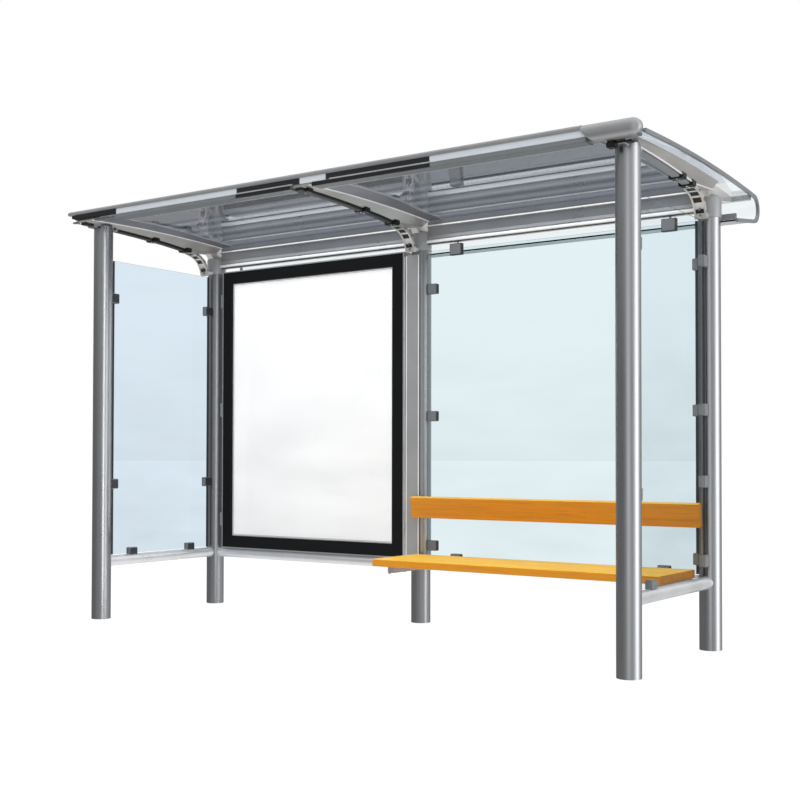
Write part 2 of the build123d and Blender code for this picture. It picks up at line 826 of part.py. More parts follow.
# Stubs hold the backrest's ends to the posts.
with BuildPart() as back_stubs:
    for x in (x_mid + stub_in[0], x_right - stub_in[1]):
        with Locations((x, y_back, back_z)):
            Box(
                stub_w,
                y_rear - stub_short - y_back,
                stub_h,
                align=(Align.CENTER, Align.MIN, Align.CENTER),
            )
    post_cores([(x_mid, y_rear), (x_right, y_rear)])
    with BuildSketch(back_plane):
        Rectangle(back_len, back_h)
    extrude(amount=plank_t / 2, both=True, mode=Mode.SUBTRACT)
    split(bisect_by=back_plane, keep=Keep.BOTTOM)
save(back_stubs.part, "back_stubs")
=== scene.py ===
"""Bus shelter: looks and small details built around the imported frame."""

from functools import partial
from math import copysign, cos, pi, radians, sin

import bmesh
import bpy
from mathutils import Matrix, Vector


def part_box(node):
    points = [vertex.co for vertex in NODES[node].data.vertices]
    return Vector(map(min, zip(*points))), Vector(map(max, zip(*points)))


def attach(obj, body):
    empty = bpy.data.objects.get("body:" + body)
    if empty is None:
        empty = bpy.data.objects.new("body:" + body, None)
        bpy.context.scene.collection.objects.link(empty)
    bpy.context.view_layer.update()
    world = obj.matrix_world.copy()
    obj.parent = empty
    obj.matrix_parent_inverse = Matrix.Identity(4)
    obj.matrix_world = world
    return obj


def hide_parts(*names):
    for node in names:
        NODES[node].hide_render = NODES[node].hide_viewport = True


bl_info = {
    "name": "Bus Shelter",
    "version": (1, 0, 0),
    "blender": (4, 5, 0),
    "location": "3D View > Sidebar > Shelter",
    "description": "Dresses a street shelter with metal, glass, wood and its small fixings",
    "category": "Object",
}

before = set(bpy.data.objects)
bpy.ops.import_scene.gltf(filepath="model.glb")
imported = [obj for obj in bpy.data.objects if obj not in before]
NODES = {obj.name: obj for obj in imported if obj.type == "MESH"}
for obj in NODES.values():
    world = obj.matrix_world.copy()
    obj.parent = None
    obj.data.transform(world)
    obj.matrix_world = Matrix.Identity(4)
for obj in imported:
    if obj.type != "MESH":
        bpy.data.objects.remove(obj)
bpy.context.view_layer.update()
MM = 0.001

# All of these are in mm, but for the taper.

# The roof: its arch, how far its top lies behind the front posts, and the sheet's thickness.
ROOF_RADIUS = 11600
APEX_BEHIND = 263
SHEET_T = 8

# The front edge, along x: the smoked stretch of the strip, the clear window left in it, and the
# ends of the purlin's box, which stops short of the end caps.
SMOKED = (-488, 771)
HEAD_WINDOW = (-40, 126)
PURLIN_ENDS = (-1440, 1600)
PURLIN_DEPTH = 70

# Ribs: half a rib's foot, where its flange starts, how it thins out behind the casting for each
# mm along it, and where the black clamps under the ribs and under the purlin sit, along y.
RIB_HALF = 28.5
FLARE = 72
RIB_TAPER = 0.11
RIB_CLAMPS = {"left": (-195, 90), "mid": (-200, 88), "right": (-30, 95)}
PURLIN_CLAMP_Y = -700

# Rear beam, with the gasket between it and the sheet.
GASKET_H = 21
BEAD_R = 11.5

# Castings on the rear posts: half widths of the arm and of the hook, how far the hook's hollow
# front bows inwards, the post's radius, and the foot and top of the collar round it.
ARM_HALF = 23
HOOK_HALF = 31
KNEE_BOW = 28
POST_R = 57.15
COLLAR = (2204.5, 2309)

# How far the right hanger of the rear glass stands off its place in the frame.
HANGER_SHIFT = 34

SIDES = ("left", "mid", "right")


def linear(hex_colour):
    """Linear RGBA of an sRGB hex colour such as #8A8D91."""
    channels = [int(hex_colour[i : i + 2], 16) / 255 for i in (1, 3, 5)]
    toned = [c / 12.92 if c <= 0.04045 else ((c + 0.055) / 1.055) ** 2.4 for c in channels]
    return (*toned, 1.0)


def colour(name, description, hex_colour):
    """A colour property that starts from an sRGB hex value."""
    return bpy.props.FloatVectorProperty(
        name=name, description=description, subtype="COLOR", size=4, min=0, max=1,
        default=linear(hex_colour),
    )


def length(name, description, millimetres):
    """A length property given in millimetres and kept in metres."""
    return bpy.props.FloatProperty(
        name=name, description=description, unit="LENGTH", min=0, default=millimetres * MM,
        precision=4,
    )


# ---------------------------------------------------------------- what a user would change


class ShelterFinishes(bpy.types.PropertyGroup):
    """Colours of the shelter's finishes."""

    stainless: colour("Stainless steel", "Satin tube of the posts, and the bolts", "#A9ABAE")
    aluminium: colour("Aluminium", "Extruded bar along the roof's rear", "#B4B6B8")
    casting: colour("Castings", "Polished cast heads of the front posts", "#D2D3D5")
    casting_hollow: colour("Casting hollows", "Dull metal the polishing wheel misses", "#3A3B3D")
    anodised: colour("Anodised aluminium", "Tray, channel and brackets", "#A4A6A8")
    bright_edge: colour("Bright edge", "Polished lips and beads of the extrusions", "#FFFFFF")
    rib: colour("Rib", "Satin flank of the arched ribs", "#B1AFAC")
    rib_flange: colour("Rib flange", "Dark coated flange under the sheet", "#6A6D78")
    cast_satin: colour("Satin casting", "Bodies of the castings on the rear posts", "#D0CECB")
    rail: colour("Rail", "Satin tubes of the low rails", "#E6E8EA")
    rib_foot: colour("Rib foot", "Grey foot of the open end rib", "#85878A")
    beam: colour("Rear beam", "Satin anodised extrusion under the roof", "#A6A8AA")
    cap: colour("End cap", "Cast cap on the roof's front corner", "#A2A3A5")
    bead: colour("Front bead", "Grey tube along the roof's front", "#858688")
    purlin: colour("Front purlin", "Grey box section under the front strip", "#6C7072")
    clip: colour("Glass clips", "Grey anodised clips", "#8A8D8F")
    seal: colour("Seals", "Dark seals at the glass edges", "#2C3036")
    frame_black: colour("Case frame", "Powder coat of the poster frame", "#161718")
    rubber: colour("Rubber", "Clamps and gaskets", "#0E0E0F")
    poster: colour("Poster", "Bare poster sheet", "#E8E8E8")
    poster_bead: colour("Poster bead", "Thin grey beads round the poster", "#B4B4B4")
    wood: colour("Wood", "Oiled bench planks", "#DE9014")
    wood_top: colour("Wood top", "Upper faces of the planks, bleached", "#FFCA42")
    wood_dark: colour("Wood grain", "Grain lines of the planks", "#A86010")
    glass_side: colour("Side glass", "Tint of the left screen", "#DDEBF6")
    glass_plain: colour("Right glass", "Barely tinted right screen", "#FAFDFF")
    glass_rear: colour("Rear glass", "Tint of the rear screen", "#E6F4F8")
    glass_case: colour("Case glass", "Clear glazing of the poster case", "#FFFFFF")
    glass_edge: colour("Glass edge", "Colour seen in a pane's cut edge", "#A9C0C4")
    sheet: colour("Roof sheet front", "Tint of the sheet over the front zone", "#7C7F85")
    sheet_light: colour("Roof sheet light stripe", "Lighter stripes behind the front zone", "#8B929C")
    sheet_dark: colour("Roof sheet dark stripe", "Darker stripes behind the front zone", "#5C606C")
    sheet_overhang: colour("Roof overhang", "Tint past the end ribs", "#DCE5EF")
    sheet_rear: colour("Roof sheet rear", "Tint behind the rear beam", "#F2F7F8")
    trim: colour("Roof trim", "Metal trim of the sheets' ends", "#8E9195")
    strip: colour("Front strip", "Frosted strip along the roof's front", "#C6CCD2")
    strip_smoked: colour("Front strip, smoked", "Dark stretch of the front strip", "#202325")
    floor: colour("Floor", "Studio floor under its even glow", "#404040")


class ShelterSizes(bpy.types.PropertyGroup):
    """Sizes of the small pieces and patterns."""

    edge_round: length("Edge rounding", "Rounding of clips and of the case frame", 3.0)
    screw_r: length("Screw head radius", "Socket screws in the glass clips", 6.5)
    screw_h: length("Screw head height", "How far a clip's screw stands out", 3.0)
    bolt_r: length("Bolt head radius", "Bolts in the castings and brackets", 8.0)
    bolt_h: length("Bolt head height", "How far a bolt's head stands out", 5.0)
    wing: length("Rib wing", "Reach of a rib's wing from its middle", 225.0)
    short_wing: length("Right rib wing", "Reach of the right rib's wing from its middle", 125.0)
    end_wing: length("End wing", "How far an end rib's open side reaches from its middle", 62.0)
    rib_front: length("Rib depth, front", "Depth of a rib at its front end", 28.0)
    rib_rear: length("Rib depth, rear", "Depth of a rib where it meets the casting", 76.0)
    clamp_wide: length("Clamp width", "Black clamps under the ribs", 76.0)
    clamp_long: length("Clamp length", "Black clamps under the ribs", 56.0)
    clamp_high: length("Clamp height", "Black clamps under the ribs", 32.0)
    frame_wide: length("Case frame width", "Black frame round the poster", 75.0)
    stripe_pitch: length("Roof stripe spacing", "One light and one dark stripe", 143.6)
    grain_pitch: length("Wood grain spacing", "Distance between two grain lines", 9.0)


# ---------------------------------------------------------------- materials


def add_node(tree, kind, inputs=None, **settings):
    """Add a node; its inputs are given by name or number, as values, sockets or whole nodes.

    A whole node stands for the first of its outputs that is in use.
    """
    node = tree.nodes.new(kind)
    for setting, value in settings.items():
        setattr(node, setting, value)
    for key, value in (inputs or {}).items():
        if isinstance(value, bpy.types.Node):
            value = next(output for output in value.outputs if output.enabled)
        if isinstance(value, bpy.types.NodeSocket):
            tree.links.new(value, node.inputs[key])
        else:
            node.inputs[key].default_value = value
    return node


def empty_material(name):
    """A material with a cleared node tree, and what adds nodes to it."""
    made = bpy.data.materials.new(name)
    made.use_nodes = True
    made.node_tree.nodes.clear()
    return made, partial(add_node, made.node_tree)


def shade(tone, share):
    """A colour made darker or lighter by a share, kept opaque."""
    return (*[min(1.0, channel * share) for channel in tone[:3]], 1.0)


def mottle(add, place, *grains):
    """Soft uneven fields over an object, each from the three sides of its grains in mm and its
    detail, which is how many times finer grains are laid over the first.
    """
    fields = []
    for sides, detail in grains:
        spot = add("ShaderNodeMapping", {"Vector": place, "Scale": [1 / (side * MM) for side in sides]})
        fields.append(add("ShaderNodeTexNoise", {"Vector": spot, "Scale": 1.0, "Detail": detail}))
    return fields


def laid_over(add, tint, *layers):
    """A colour with others laid over it, each by as much as its field has passed from one value
    to another, and at most by a share.
    """
    for field, start, full, most, tone in layers:
        share = add(
            "ShaderNodeMapRange", {"Value": field, "From Min": start, "From Max": full, "To Max": most}
        )
        tint = add("ShaderNodeMix", {0: share, 6: tint, 7: tone}, data_type="RGBA")
    return tint


# A maker builds a look from an object's own coordinates and returns the node of its surface.


def brushed_metal(add, place, tone, along, roughness):
    """Drawn and belt-brushed metal: satin, with faint streaks along the draw.

    The real streaks are a tenth of a millimetre wide and are drawn 6 mm wide here, so that
    they still show as the slight unevenness the metal has from a few metres away.
    """
    sides = [6, 6, 6]
    sides[along] = 900
    streaks, smudges = mottle(add, place, (sides, 3.0), ((240, 240, 240), 4.0))
    tint = laid_over(add, shade(tone, 0.95), (streaks, 0.3, 0.7, 1.0, shade(tone, 1.05)))
    wear = add("ShaderNodeMath", {0: streaks, 1: smudges}, operation="ADD")
    gloss = add(
        "ShaderNodeMapRange",
        {"Value": wear, "From Min": 0.6, "From Max": 1.4,
         "To Min": roughness - 0.04, "To Max": roughness + 0.06},
    )
    return add("ShaderNodeBsdfPrincipled", {"Base Color": tint, "Metallic": 1.0, "Roughness": gloss})


def polished_casting(add, place, tone, hollow_tone):
    """Sand-cast metal polished by hand: mirror bright over the soft ripple of the casting, and
    dark where the wheel can't reach.
    """
    ripple, haze = mottle(add, place, ((38, 38, 38), 2.0), ((9, 9, 9), 3.0))
    tint = add("ShaderNodeMix", {0: haze, 6: shade(tone, 0.86), 7: shade(tone, 1.06)}, data_type="RGBA")
    polish = laid_over(add, hollow_tone, (ripple, 0.36, 0.46, 1.0, tint))
    gloss = add(
        "ShaderNodeMapRange",
        {"Value": haze, "From Min": 0.3, "From Max": 0.7, "To Min": 0.08, "To Max": 0.18},
    )
    relief = add("ShaderNodeBump", {"Height": ripple, "Distance": 3.0 * MM, "Strength": 0.9})
    return add(
        "ShaderNodeBsdfPrincipled",
        {"Base Color": polish, "Metallic": 1.0, "Roughness": gloss, "Normal": relief},
    )


def coated_metal(add, place, tone, roughness, metallic, shine=0.5):
    """Powder coat, or anodising when metallic: even colour, fine orange peel and some dust.

    The real peel is about half a millimetre wide and is drawn 3 mm wide here.
    """
    peel, dust = mottle(add, place, ((3, 3, 3), 1.0), ((180, 180, 180), 5.0))
    tint = add("ShaderNodeMix", {0: dust, 6: shade(tone, 0.85), 7: shade(tone, 1.15)}, data_type="RGBA")
    gloss = add(
        "ShaderNodeMapRange",
        {"Value": dust, "From Min": 0.3, "From Max": 0.7,
         "To Min": roughness - 0.04, "To Max": roughness + 0.06},
    )
    relief = add("ShaderNodeBump", {"Height": peel, "Distance": 0.05 * MM, "Strength": 0.5})
    return add(
        "ShaderNodeBsdfPrincipled",
        {"Base Color": tint, "Metallic": metallic, "Roughness": gloss, "Specular IOR Level": shine,
         "Normal": relief},
    )


def clear_glass(add, place, tint, edge_tint, across, mirror_ior=1.4):
    """Toughened float glass: a clear face that mirrors at a glance, a dark green-grey cut edge,
    and a little more tint low down.

    The denser part is road film, which lies on glass in soft level clouds.
    """
    low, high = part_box("glass_rear")
    foot = add(
        "ShaderNodeMapRange",
        {"Value": add("ShaderNodeSeparateXYZ", {0: place}).outputs["Z"],
         "From Min": low.z, "From Max": high.z, "To Min": 1.0, "To Max": 0.0},
    )
    (cloud,) = mottle(add, place, ((900, 900, 260), 4.0))
    film = add("ShaderNodeMath", {0: foot, 1: cloud}, operation="MULTIPLY")
    half_tint = (*[channel**0.5 for channel in tint[:3]], 1.0)  # light passes two faces of the pane
    face = laid_over(add, half_tint, (film, 0.1, 0.6, 1.0, shade(half_tint, 0.92)))
    surface = add("ShaderNodeNewGeometry").outputs
    facing = add("ShaderNodeSeparateXYZ", {0: surface["Normal"]}).outputs[across]
    flat = add("ShaderNodeMath", {0: facing}, operation="ABSOLUTE")
    on_face = add("ShaderNodeMapRange", {"Value": flat, "From Min": 0.4, "From Max": 0.6})
    through = add("ShaderNodeBsdfTransparent", {"Color": face})
    mirror = add("ShaderNodeBsdfAnisotropic", {"Color": (0.35, 0.35, 0.35, 1), "Roughness": 0.0})
    glance = add("ShaderNodeFresnel", {"IOR": mirror_ior})
    outside = add("ShaderNodeMath", {0: 1.0, 1: surface["Backfacing"]}, operation="SUBTRACT")
    coat = add("ShaderNodeMath", {0: glance, 1: outside}, operation="MULTIPLY")
    clear = add("ShaderNodeMixShader", {0: coat, 1: through, 2: mirror})
    solid = add("ShaderNodeBsdfPrincipled", {"Base Color": edge_tint, "Roughness": 0.2, "IOR": 1.5})
    lit = add("ShaderNodeBsdfTransparent", {"Color": edge_tint})
    cut = add("ShaderNodeMixShader", {0: 0.65, 1: solid, 2: lit})
    return add("ShaderNodeMixShader", {0: on_face, 1: cut, 2: clear})


def oiled_wood(add, place, tone, top_tone, dark):
    """Planed and oiled hardwood: grain lines along the plank, open pores and a low sheen, and
    bleached by the weather where it faces up.

    The real pores are a third of a millimetre wide and are drawn 1 mm wide here.
    """
    pitch = bpy.context.scene.shelter_sizes.grain_pitch
    warp, pores, board = mottle(
        add, place, ((700, 60, 60), 3.0), ((26, 1, 1), 1.0), ((900, 45, 45), 2.0)
    )
    spot = add(
        "ShaderNodeMapping", {"Vector": place, "Scale": (1 / (40 * pitch), 1 / pitch, 1 / pitch)}
    )
    bent = add(
        "ShaderNodeVectorMath", {0: warp.outputs["Color"], 1: (2.5, 2.5, 2.5), 2: spot},
        operation="MULTIPLY_ADD",
    )
    grain = add("ShaderNodeTexNoise", {"Vector": bent, "Scale": 1.0, "Detail": 5.0, "Roughness": 0.6})
    normal = add("ShaderNodeNewGeometry").outputs["Normal"]
    upward = add("ShaderNodeSeparateXYZ", {0: normal}).outputs["Z"]
    fresh = add(
        "ShaderNodeMix", {0: board, 6: shade(tone, 0.88), 7: shade(tone, 1.12)}, data_type="RGBA"
    )
    tint = laid_over(
        add, fresh, (upward, 0.3, 0.8, 1.0, top_tone), (grain, 0.48, 0.72, 0.5, dark),
        (pores, 0.62, 0.75, 0.3, shade(dark, 0.6)),
    )
    gloss = add(
        "ShaderNodeMapRange",
        {"Value": grain, "From Min": 0.3, "From Max": 0.7, "To Min": 0.38, "To Max": 0.52},
    )
    relief = add("ShaderNodeBump", {"Height": grain, "Distance": 0.5 * MM, "Strength": 0.3})
    return add(
        "ShaderNodeBsdfPrincipled",
        {"Base Color": tint, "Roughness": gloss, "IOR": 1.5, "Specular IOR Level": 0.35,
         "Normal": relief},
    )


def clear_sheet(add, place, front_tone, light_tone, dark_tone, overhang_tone, rear_tone):
    """Extruded clear roof sheet: smoke tint, soft flow stripes along it behind the front zone,
    and barely any tint past the end ribs and the rear beam, where it hangs free.

    It lets the lamps' light through, so that what is under it is lit.
    """
    x, y = add("ShaderNodeSeparateXYZ", {0: place}).outputs[:2]
    per_metre = 2 * pi / bpy.context.scene.shelter_sizes.stripe_pitch
    post_line = sum(corner.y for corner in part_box("post_front_left")) / 2
    (flow,) = mottle(add, place, ((2600, 60, 60), 3.0))
    turn = add(
        "ShaderNodeMath", {0: y, 1: per_metre, 2: -(post_line + 0.3) * per_metre},
        operation="MULTIPLY_ADD",
    )
    uneven = add("ShaderNodeMath", {0: flow, 1: 0.9, 2: turn}, operation="MULTIPLY_ADD")
    wave = add("ShaderNodeMath", {0: uneven}, operation="SINE")
    stripes = laid_over(add, dark_tone, (wave, -1.0, 1.0, 1.0, light_tone))
    aside = add("ShaderNodeMath", {0: x}, operation="ABSOLUTE")
    rib_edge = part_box("rib_right")[1].x
    beam_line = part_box("rear_beam_left")[1].y
    tint = laid_over(
        add, front_tone, (y, post_line + 0.2, post_line + 0.25, 1.0, stripes),
        (aside, rib_edge - 5 * MM, rib_edge, 1.0, overhang_tone),
        (y, beam_line - 20 * MM, beam_line + 10 * MM, 1.0, rear_tone),
    )
    body = add(
        "ShaderNodeBsdfPrincipled",
        {"Base Color": tint, "Transmission Weight": 1.0, "Roughness": 0.0, "IOR": 1.49},
    )
    rays = add("ShaderNodeLightPath").outputs
    lamp_ray = add(
        "ShaderNodeMath", {0: rays["Is Shadow Ray"], 1: rays["Is Diffuse Ray"]}, operation="MAXIMUM"
    )
    open_air = add("ShaderNodeBsdfTransparent", {"Color": (0.93, 0.94, 0.95, 1.0)})
    return add("ShaderNodeMixShader", {0: lamp_ray, 1: body, 2: open_air})


def front_strip(add, place, tone, smoked_tone):
    """Frosted acrylic, smoked on both sides of the clear window over the middle rib's head.

    A frosted face scatters the light evenly.
    """
    x = add("ShaderNodeSeparateXYZ", {0: place}).outputs["X"]
    soft = 6 * MM
    stretches = []
    for low, high in ((SMOKED[0] * MM, HEAD_WINDOW[0] * MM), (HEAD_WINDOW[1] * MM, SMOKED[1] * MM)):
        rise = add("ShaderNodeMapRange", {"Value": x, "From Min": low, "From Max": low + soft})
        fall = add(
            "ShaderNodeMapRange",
            {"Value": x, "From Min": high - soft, "From Max": high, "To Min": 1.0, "To Max": 0.0},
        )
        stretches.append(add("ShaderNodeMath", {0: rise, 1: fall}, operation="MULTIPLY"))
    share = add("ShaderNodeMath", dict(enumerate(stretches)), operation="MAXIMUM")
    (frost,) = mottle(add, place, ((160, 12, 12), 3.0))
    clear = add(
        "ShaderNodeMix", {0: frost, 6: shade(tone, 0.94), 7: shade(tone, 1.06)}, data_type="RGBA"
    )
    tint = add("ShaderNodeMix", {0: share, 6: clear, 7: smoked_tone}, data_type="RGBA")
    return add(
        "ShaderNodeBsdfPrincipled",
        {"Base Color": tint, "Roughness": 0.35, "IOR": 1.49, "Specular IOR Level": 0.3},
    )


def soft_matt(add, place, tone, grain_size, spread, roughness, glow=0.0):
    """Paper, rubber or moulded plastic: dull, with a fine uneven grain; glow lights it from behind."""
    (grain,) = mottle(add, place, ([grain_size] * 3, 3.0))
    tint = add(
        "ShaderNodeMix", {0: grain, 6: shade(tone, 1 - spread), 7: shade(tone, 1 + spread)},
        data_type="RGBA",
    )
    relief = add("ShaderNodeBump", {"Height": grain, "Distance": 0.1 * MM, "Strength": 0.4})
    return add(
        "ShaderNodeBsdfPrincipled",
        {"Base Color": tint, "Roughness": roughness, "IOR": 1.5, "Normal": relief,
         "Emission Color": tint, "Emission Strength": glow},
    )


# Each material's maker, the colours it takes and its own settings, under what it gives the eye.
# A coat's settings are its roughness, how metallic it is and how strongly its face shines.
LOOKS = {
    # a satin highlight that runs down the round posts
    "stainless_upright": (brushed_metal, "stainless", 2, 0.28),
    # small bright heads of screws and bolts
    "stainless_long": (brushed_metal, "stainless", 0, 0.28),
    # a long bar a little smoother than the posts
    "aluminium_long": (brushed_metal, "aluminium", 0, 0.24),
    # bright lumps between dark hollows
    "casting": (polished_casting, "casting casting_hollow"),
    # plain grey that barely mirrors
    "anodised": (coated_metal, "anodised", 0.42, 0.25),
    # a dull grey tube with one broad highlight
    "bead": (coated_metal, "bead", 0.5, 0.1, 0.3),
    # almost bare cast metal, soft and grey
    "cap_metal": (coated_metal, "cap", 0.4, 0.85),
    # smooth satin metal that mirrors the room's light and dark
    "beam_metal": (coated_metal, "beam", 0.3, 0.7),
    # small grey blocks, darker than the metal round them
    "clip": (coated_metal, "clip", 0.4, 0.3),
    # a thin white line where an edge catches the light
    "bright_edge": (coated_metal, "bright_edge", 0.35, 0.0),
    # a light flank that still shows the room's shades
    "rib_metal": (coated_metal, "rib", 0.32, 0.55),
    # a dark band beside each rib, under the sheet
    "rib_flange": (coated_metal, "rib_flange", 0.4, 0.3),
    # light, half-polished bodies
    "cast_satin": (coated_metal, "cast_satin", 0.3, 0.6),
    # the lightest of the tubes
    "rail_metal": (coated_metal, "rail", 0.3, 0.65),
    # flat grey under the open end rib
    "rib_foot": (coated_metal, "rib_foot", 0.45, 0.3),
    # a grey line round the clear sheets
    "trim": (coated_metal, "trim", 0.4, 0.6),
    # dead black that the poster stands out from
    "frame_black": (coated_metal, "frame_black", 0.5, 0.0, 0.12),
    # grey paint in the roof's shade
    "purlin": (coated_metal, "purlin", 0.5, 0.0, 0.25),
    # black blocks and joints that swallow the light
    "rubber": (soft_matt, "rubber", 1.5, 0.3, 0.5),
    # dark lines at the glass edges
    "seal": (soft_matt, "seal", 1.5, 0.3, 0.5),
    # an even white sheet, lit from behind
    "paper": (soft_matt, "poster", 300, 0.015, 0.6, 0.42),
    # light grey lines round the sheet
    "poster_bead": (soft_matt, "poster_bead", 20, 0.03, 0.5),
    # warm orange planks, yellow on top
    "wood": (oiled_wood, "wood wood_top wood_dark"),
    # clear panes, told from the air by their tint, mirroring and edge
    "glass_side": (clear_glass, "glass_side glass_edge", "X"),
    "glass_plain": (clear_glass, "glass_plain glass_edge", "X", 1.18),
    "glass_rear": (clear_glass, "glass_rear glass_edge", "Y"),
    "glass_case": (clear_glass, "glass_case glass_edge", "Y"),
    # smoky sheet that darkens the sky over the seat
    "roof_sheet": (clear_sheet, "sheet sheet_light sheet_dark sheet_overhang sheet_rear"),
    # milky strip with two dark stretches
    "front_strip": (front_strip, "strip strip_smoked"),
}
MATERIALS = {}


def material(name):
    """One of the shelter's materials, made when it is first asked for."""
    if name not in MATERIALS:
        maker, tones, *settings = LOOKS[name]
        tones = [getattr(bpy.context.scene.shelter_finishes, tone) for tone in tones.split()]
        MATERIALS[name], add = empty_material(name)
        place = add("ShaderNodeTexCoord").outputs["Object"]
        add("ShaderNodeOutputMaterial", {"Surface": maker(add, place, *tones, *settings)})
    return MATERIALS[name]


# ---------------------------------------------------------------- shapes, with lengths in mm


def corners(node):
    """Low and high corner of a node's box."""
    return [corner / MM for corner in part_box(node)]


def middle(node):
    """Middle of a node's box."""
    low, high = corners(node)
    return (low + high) / 2


def size(name):
    """One of the sizes that a user can change."""
    return getattr(bpy.context.scene.shelter_sizes, name) / MM


def dress(nodes, material_name):
    """Give CAD nodes one of the shelter's materials."""
    for node in nodes:
        mesh = NODES[node].data
        mesh.materials.clear()
        mesh.materials.append(material(material_name))


def link_mesh(name, mesh):
    """Put a mesh in the scene as an object at the origin."""
    piece = bpy.data.objects.new(name, mesh)
    bpy.context.scene.collection.objects.link(piece)
    return piece


def keep_piece(piece, slot, *nodes):
    """Put a finished piece on the shelter: its body, its slot and the nodes it stands for."""
    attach(piece, "root")
    if nodes:
        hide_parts(*nodes)


def screw_tree():
    """Node group that sets a head with a socket in it on each point, facing the point's way."""
    tree = bpy.data.node_groups.new("Screw heads", "GeometryNodeTree")
    for port, kind in (
        ("Points", "Geometry"), ("Radius", "Float"), ("Height", "Float"), ("Sides", "Int"),
        ("Material", "Material"),
    ):
        tree.interface.new_socket(port, in_out="INPUT", socket_type=f"NodeSocket{kind}")
    tree.interface.new_socket("Heads", in_out="OUTPUT", socket_type="NodeSocketGeometry")

    add = partial(add_node, tree)
    given = add("NodeGroupInput").outputs
    radius, height = given["Radius"], given["Height"]
    rim_r, key_r, half = (
        add("ShaderNodeMath", {0: value, 1: share}, operation="MULTIPLY")
        for value, share in ((radius, 0.86), (radius, 0.45), (height, 0.9))
    )
    head = add(
        "GeometryNodeMeshCone",
        {"Vertices": given["Sides"], "Radius Top": rim_r, "Radius Bottom": radius, "Depth": height},
        fill_type="NGON",
    )
    key = add(
        "GeometryNodeMeshCylinder", {"Vertices": 6, "Radius": key_r, "Depth": height}, fill_type="NGON"
    )
    lift = add("ShaderNodeCombineXYZ", {"Z": half})
    raised = add("GeometryNodeTransform", {"Geometry": key, "Translation": lift})
    socketed = add(
        "GeometryNodeMeshBoolean", {"Mesh 1": head, "Mesh 2": raised}, operation="DIFFERENCE"
    )
    facing = add("GeometryNodeInputNamedAttribute", {"Name": "facing"}, data_type="FLOAT_VECTOR")
    turned = add("FunctionNodeAlignRotationToVector", {"Vector": facing}, axis="Z")
    placed = add(
        "GeometryNodeInstanceOnPoints",
        {"Points": given["Points"], "Instance": socketed, "Rotation": turned},
    )
    real = add("GeometryNodeRealizeInstances", {"Geometry": placed})
    painted = add("GeometryNodeSetMaterial", {"Geometry": real, "Material": given["Material"]})
    add("NodeGroupOutput", {"Heads": painted})
    return tree


def screws(name, places, radius, height, sides=6):
    """Screw or bolt heads at (position, facing) places, as one plain mesh."""
    mesh = bpy.data.meshes.new(name)
    mesh.from_pydata([Vector(place) * MM for place, facing in places], [], [])
    facings = mesh.attributes.new("facing", "FLOAT_VECTOR", "POINT")
    for element, (place, facing) in zip(facings.data, places):
        element.vector = facing
    piece = link_mesh(name, mesh)
    tree = bpy.data.node_groups.get("Screw heads") or screw_tree()
    modifier = piece.modifiers.new("Screw heads", "NODES")
    modifier.node_group = tree
    ports = {item.name: item.identifier for item in tree.interface.items_tree if item.in_out == "INPUT"}
    modifier[ports["Radius"]] = radius * MM
    modifier[ports["Height"]] = height * MM
    modifier[ports["Sides"]] = sides
    modifier[ports["Material"]] = material("stainless_long")
    evaluated = piece.evaluated_get(bpy.context.evaluated_depsgraph_get())
    heads = bpy.data.meshes.new_from_object(evaluated)
    piece.modifiers.clear()
    piece.data = heads
    keep_piece(piece, "stainless")


def finished_mesh(name, shell, material_name, slot, *nodes):
    """Turn a bmesh into a piece with its normals outward and its flat faces kept flat."""
    bmesh.ops.recalc_face_normals(shell, faces=shell.faces)
    bmesh.ops.scale(shell, vec=(MM, MM, MM), verts=shell.verts)
    mesh = bpy.data.meshes.new(name)
    shell.to_mesh(mesh)
    shell.free()
    mesh.materials.append(material(material_name))
    mesh.shade_smooth()
    mesh.set_sharp_from_angle(angle=radians(38))
    keep_piece(link_mesh(name, mesh), slot, *nodes)


def skin(name, parts, material_name, slot, *nodes, closed=False):
    """Bodies drawn over a row of rings with the same number of points; a closed row runs back to
    its first ring, and an open one gets end faces.
    """
    shell = bmesh.new()
    for rings in parts:
        rows = [[shell.verts.new(point) for point in ring] for ring in rings]
        count = len(rows[0])
        for near, far in zip(rows, rows[1:] + rows[:1] if closed else rows[1:]):
            for k in range(count):
                shell.faces.new((near[k], near[(k + 1) % count], far[(k + 1) % count], far[k]))
        if not closed:
            shell.faces.new(rows[0])
            shell.faces.new(rows[-1])
    finished_mesh(name, shell, material_name, slot, *nodes)


def mitred_frame(name, low, high, profile, material_name, slot, *nodes):
    """Rectangular frame in an upright plane: a closed profile of (inset, y) points, swept round
    the rectangle from low to high with mitred corners.
    """
    rings = [
        [(x + side * inset, y, z + rise * inset) for inset, y in profile]
        for x, side, z, rise in (
            (low.x, 1, low.z, 1), (high.x, -1, low.z, 1), (high.x, -1, high.z, -1),
            (low.x, 1, high.z, -1),
        )
    ]
    skin(name, [rings], material_name, slot, *nodes, closed=True)


def blocks(name, boxes, rounding, material_name, slot, *nodes):
    """Small rounded blocks, each from a low to a high corner."""
    shell = bmesh.new()
    for low, high in boxes:
        low, high = Vector(low), Vector(high)
        made = bmesh.ops.create_cube(shell, size=1.0)["verts"]
        bmesh.ops.scale(shell, vec=high - low, verts=made)
        bmesh.ops.translate(shell, vec=(low + high) / 2, verts=made)
    if rounding:
        bmesh.ops.bevel(shell, geom=shell.edges[:], offset=rounding, segments=2, affect="EDGES")
    finished_mesh(name, shell, material_name, slot, *nodes)


